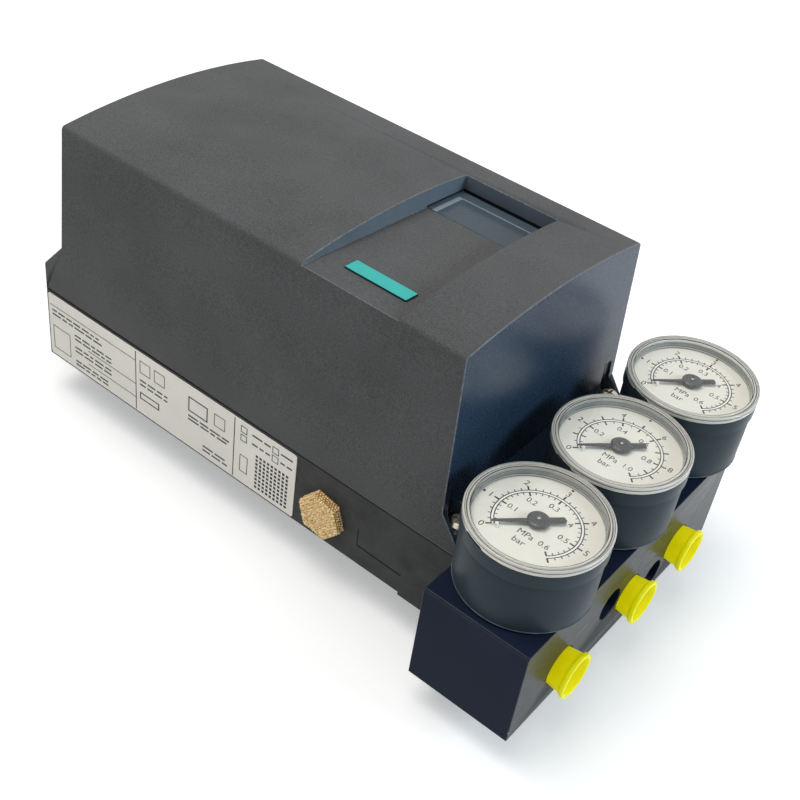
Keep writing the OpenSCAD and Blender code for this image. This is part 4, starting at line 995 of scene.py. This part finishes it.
WHITE = (1, 1, 1, 1)
FLOOR_TONE = (0.86, 0.86, 0.85, 1)
FLOOR_GLOW = 0.37
FLOOR_SIZE = 15.0
FLOOR_Z = cad_box[0][2] - 0.2 * MM
SKY_TONES = ((0.46, 0.45, 0.44, 1), (0.10, 0.145, 0.20, 1))
SKY_LEVELS = (0.1, 0.9)
SKY_DIM_SIDE = Vector((1, -0.3, -0.35)).normalized()


def shows_background(tree):
    """1 on rays that show the surroundings: straight to the camera, or by mirror or glass."""
    path = node(tree, "LightPath")
    level = path.outputs["Is Camera Ray"]
    for other in ("Is Glossy Ray", "Is Transmission Ray"):
        both = node(tree, "Math", operation="MAXIMUM")
        tree.links.new(level, both.inputs[0])
        tree.links.new(path.outputs[other], both.inputs[1])
        level = both.outputs[0]
    return level


def plain_floor():
    """Pale floor that catches the shadow, lifted to white where it is seen."""
    mat = bpy.data.materials.new("floor")
    mat.use_nodes = True
    tree = mat.node_tree
    bsdf = tree.nodes["Principled BSDF"]
    bsdf.inputs["Base Color"].default_value = FLOOR_TONE
    bsdf.inputs["Roughness"].default_value = 0.9
    bsdf.inputs["Emission Color"].default_value = WHITE
    glow = node(tree, "Math", operation="MULTIPLY")
    tree.links.new(shows_background(tree), glow.inputs[0])
    glow.inputs[1].default_value = FLOOR_GLOW
    tree.links.new(glow.outputs[0], bsdf.inputs["Emission Strength"])
    bm = bmesh.new()
    bmesh.ops.create_grid(bm, x_segments=1, y_segments=1, size=FLOOR_SIZE)
    mesh = bpy.data.meshes.new("floor")
    bm.to_mesh(mesh)
    bm.free()
    mesh.materials.append(mat)
    obj = bpy.data.objects.new("floor", mesh)
    obj.location.z = FLOOR_Z
    SCENE.collection.objects.link(obj)


def studio_world():
    """Soft sky, dim and blue towards the gauge end, and white where it is seen."""
    world = bpy.data.worlds.new("studio")
    SCENE.world = world
    world.use_nodes = True
    tree = world.node_tree
    link = tree.links.new
    place = node(tree, "TexCoord")
    along = node(tree, "VectorMath", operation="DOT_PRODUCT")
    along.inputs[1].default_value = SKY_DIM_SIDE
    link(place.outputs["Generated"], along.inputs[0])
    share = node(tree, "MapRange")
    share.inputs["From Min"].default_value = -1.0
    link(along.outputs["Value"], share.inputs["Value"])
    ramp = node(tree, "ValToRGB")
    for stop, position, colour in zip(ramp.color_ramp.elements, SKY_LEVELS, SKY_TONES):
        stop.position = position
        stop.color = colour
    link(share.outputs["Result"], ramp.inputs["Fac"])
    mix = node(tree, "MixRGB")
    mix.inputs["Color2"].default_value = WHITE
    link(shows_background(tree), mix.inputs["Fac"])
    link(ramp.outputs["Color"], mix.inputs["Color1"])
    link(mix.outputs["Color"], tree.nodes["Background"].inputs["Color"])


def lamp(name, place, aim, size, power, tint):
    """Square area lamp at a place, turned to its aim."""
    light = bpy.data.lights.new(name, "AREA")
    light.shape = "SQUARE"
    light.size = size
    light.energy = power
    light.color = tint
    obj = bpy.data.objects.new(name, light)
    obj.location = place
    obj.rotation_euler = (Vector(aim) - Vector(place)).to_track_quat("-Z", "Y").to_euler()
    SCENE.collection.objects.link(obj)


def photo_camera():
    """Camera at the photograph's place, in mm and degrees. Azimuth 0 looks along +Y."""
    eye = (209.28, -270.78, 288.87)
    azimuth, elevation, roll = 33.345, 39.158, 8.785
    data = bpy.data.cameras.new("camera")
    data.lens = 56.156
    data.sensor_width = 36.0
    data.clip_start = 0.01
    data.clip_end = 30.0
    obj = bpy.data.objects.new("camera", data)
    obj.matrix_world = shift(*eye) @ turn(azimuth, "Z") @ turn(90 - elevation, "X") @ turn(roll, "Z")
    SCENE.collection.objects.link(obj)
    SCENE.camera = obj


plain_floor()
studio_world()
lamp("key", place=(-0.25, -0.2, 1.28), aim=(0, 0, 0.05), size=0.9, power=10.5, tint=(1.0, 0.985, 0.96))
lamp("sky", place=(1.1, 0.35, 0.55), aim=(0.08, 0, 0.06), size=0.45, power=6.0, tint=(0.72, 0.87, 1.0))
photo_camera()
SCENE.view_settings.view_transform = "Standard"
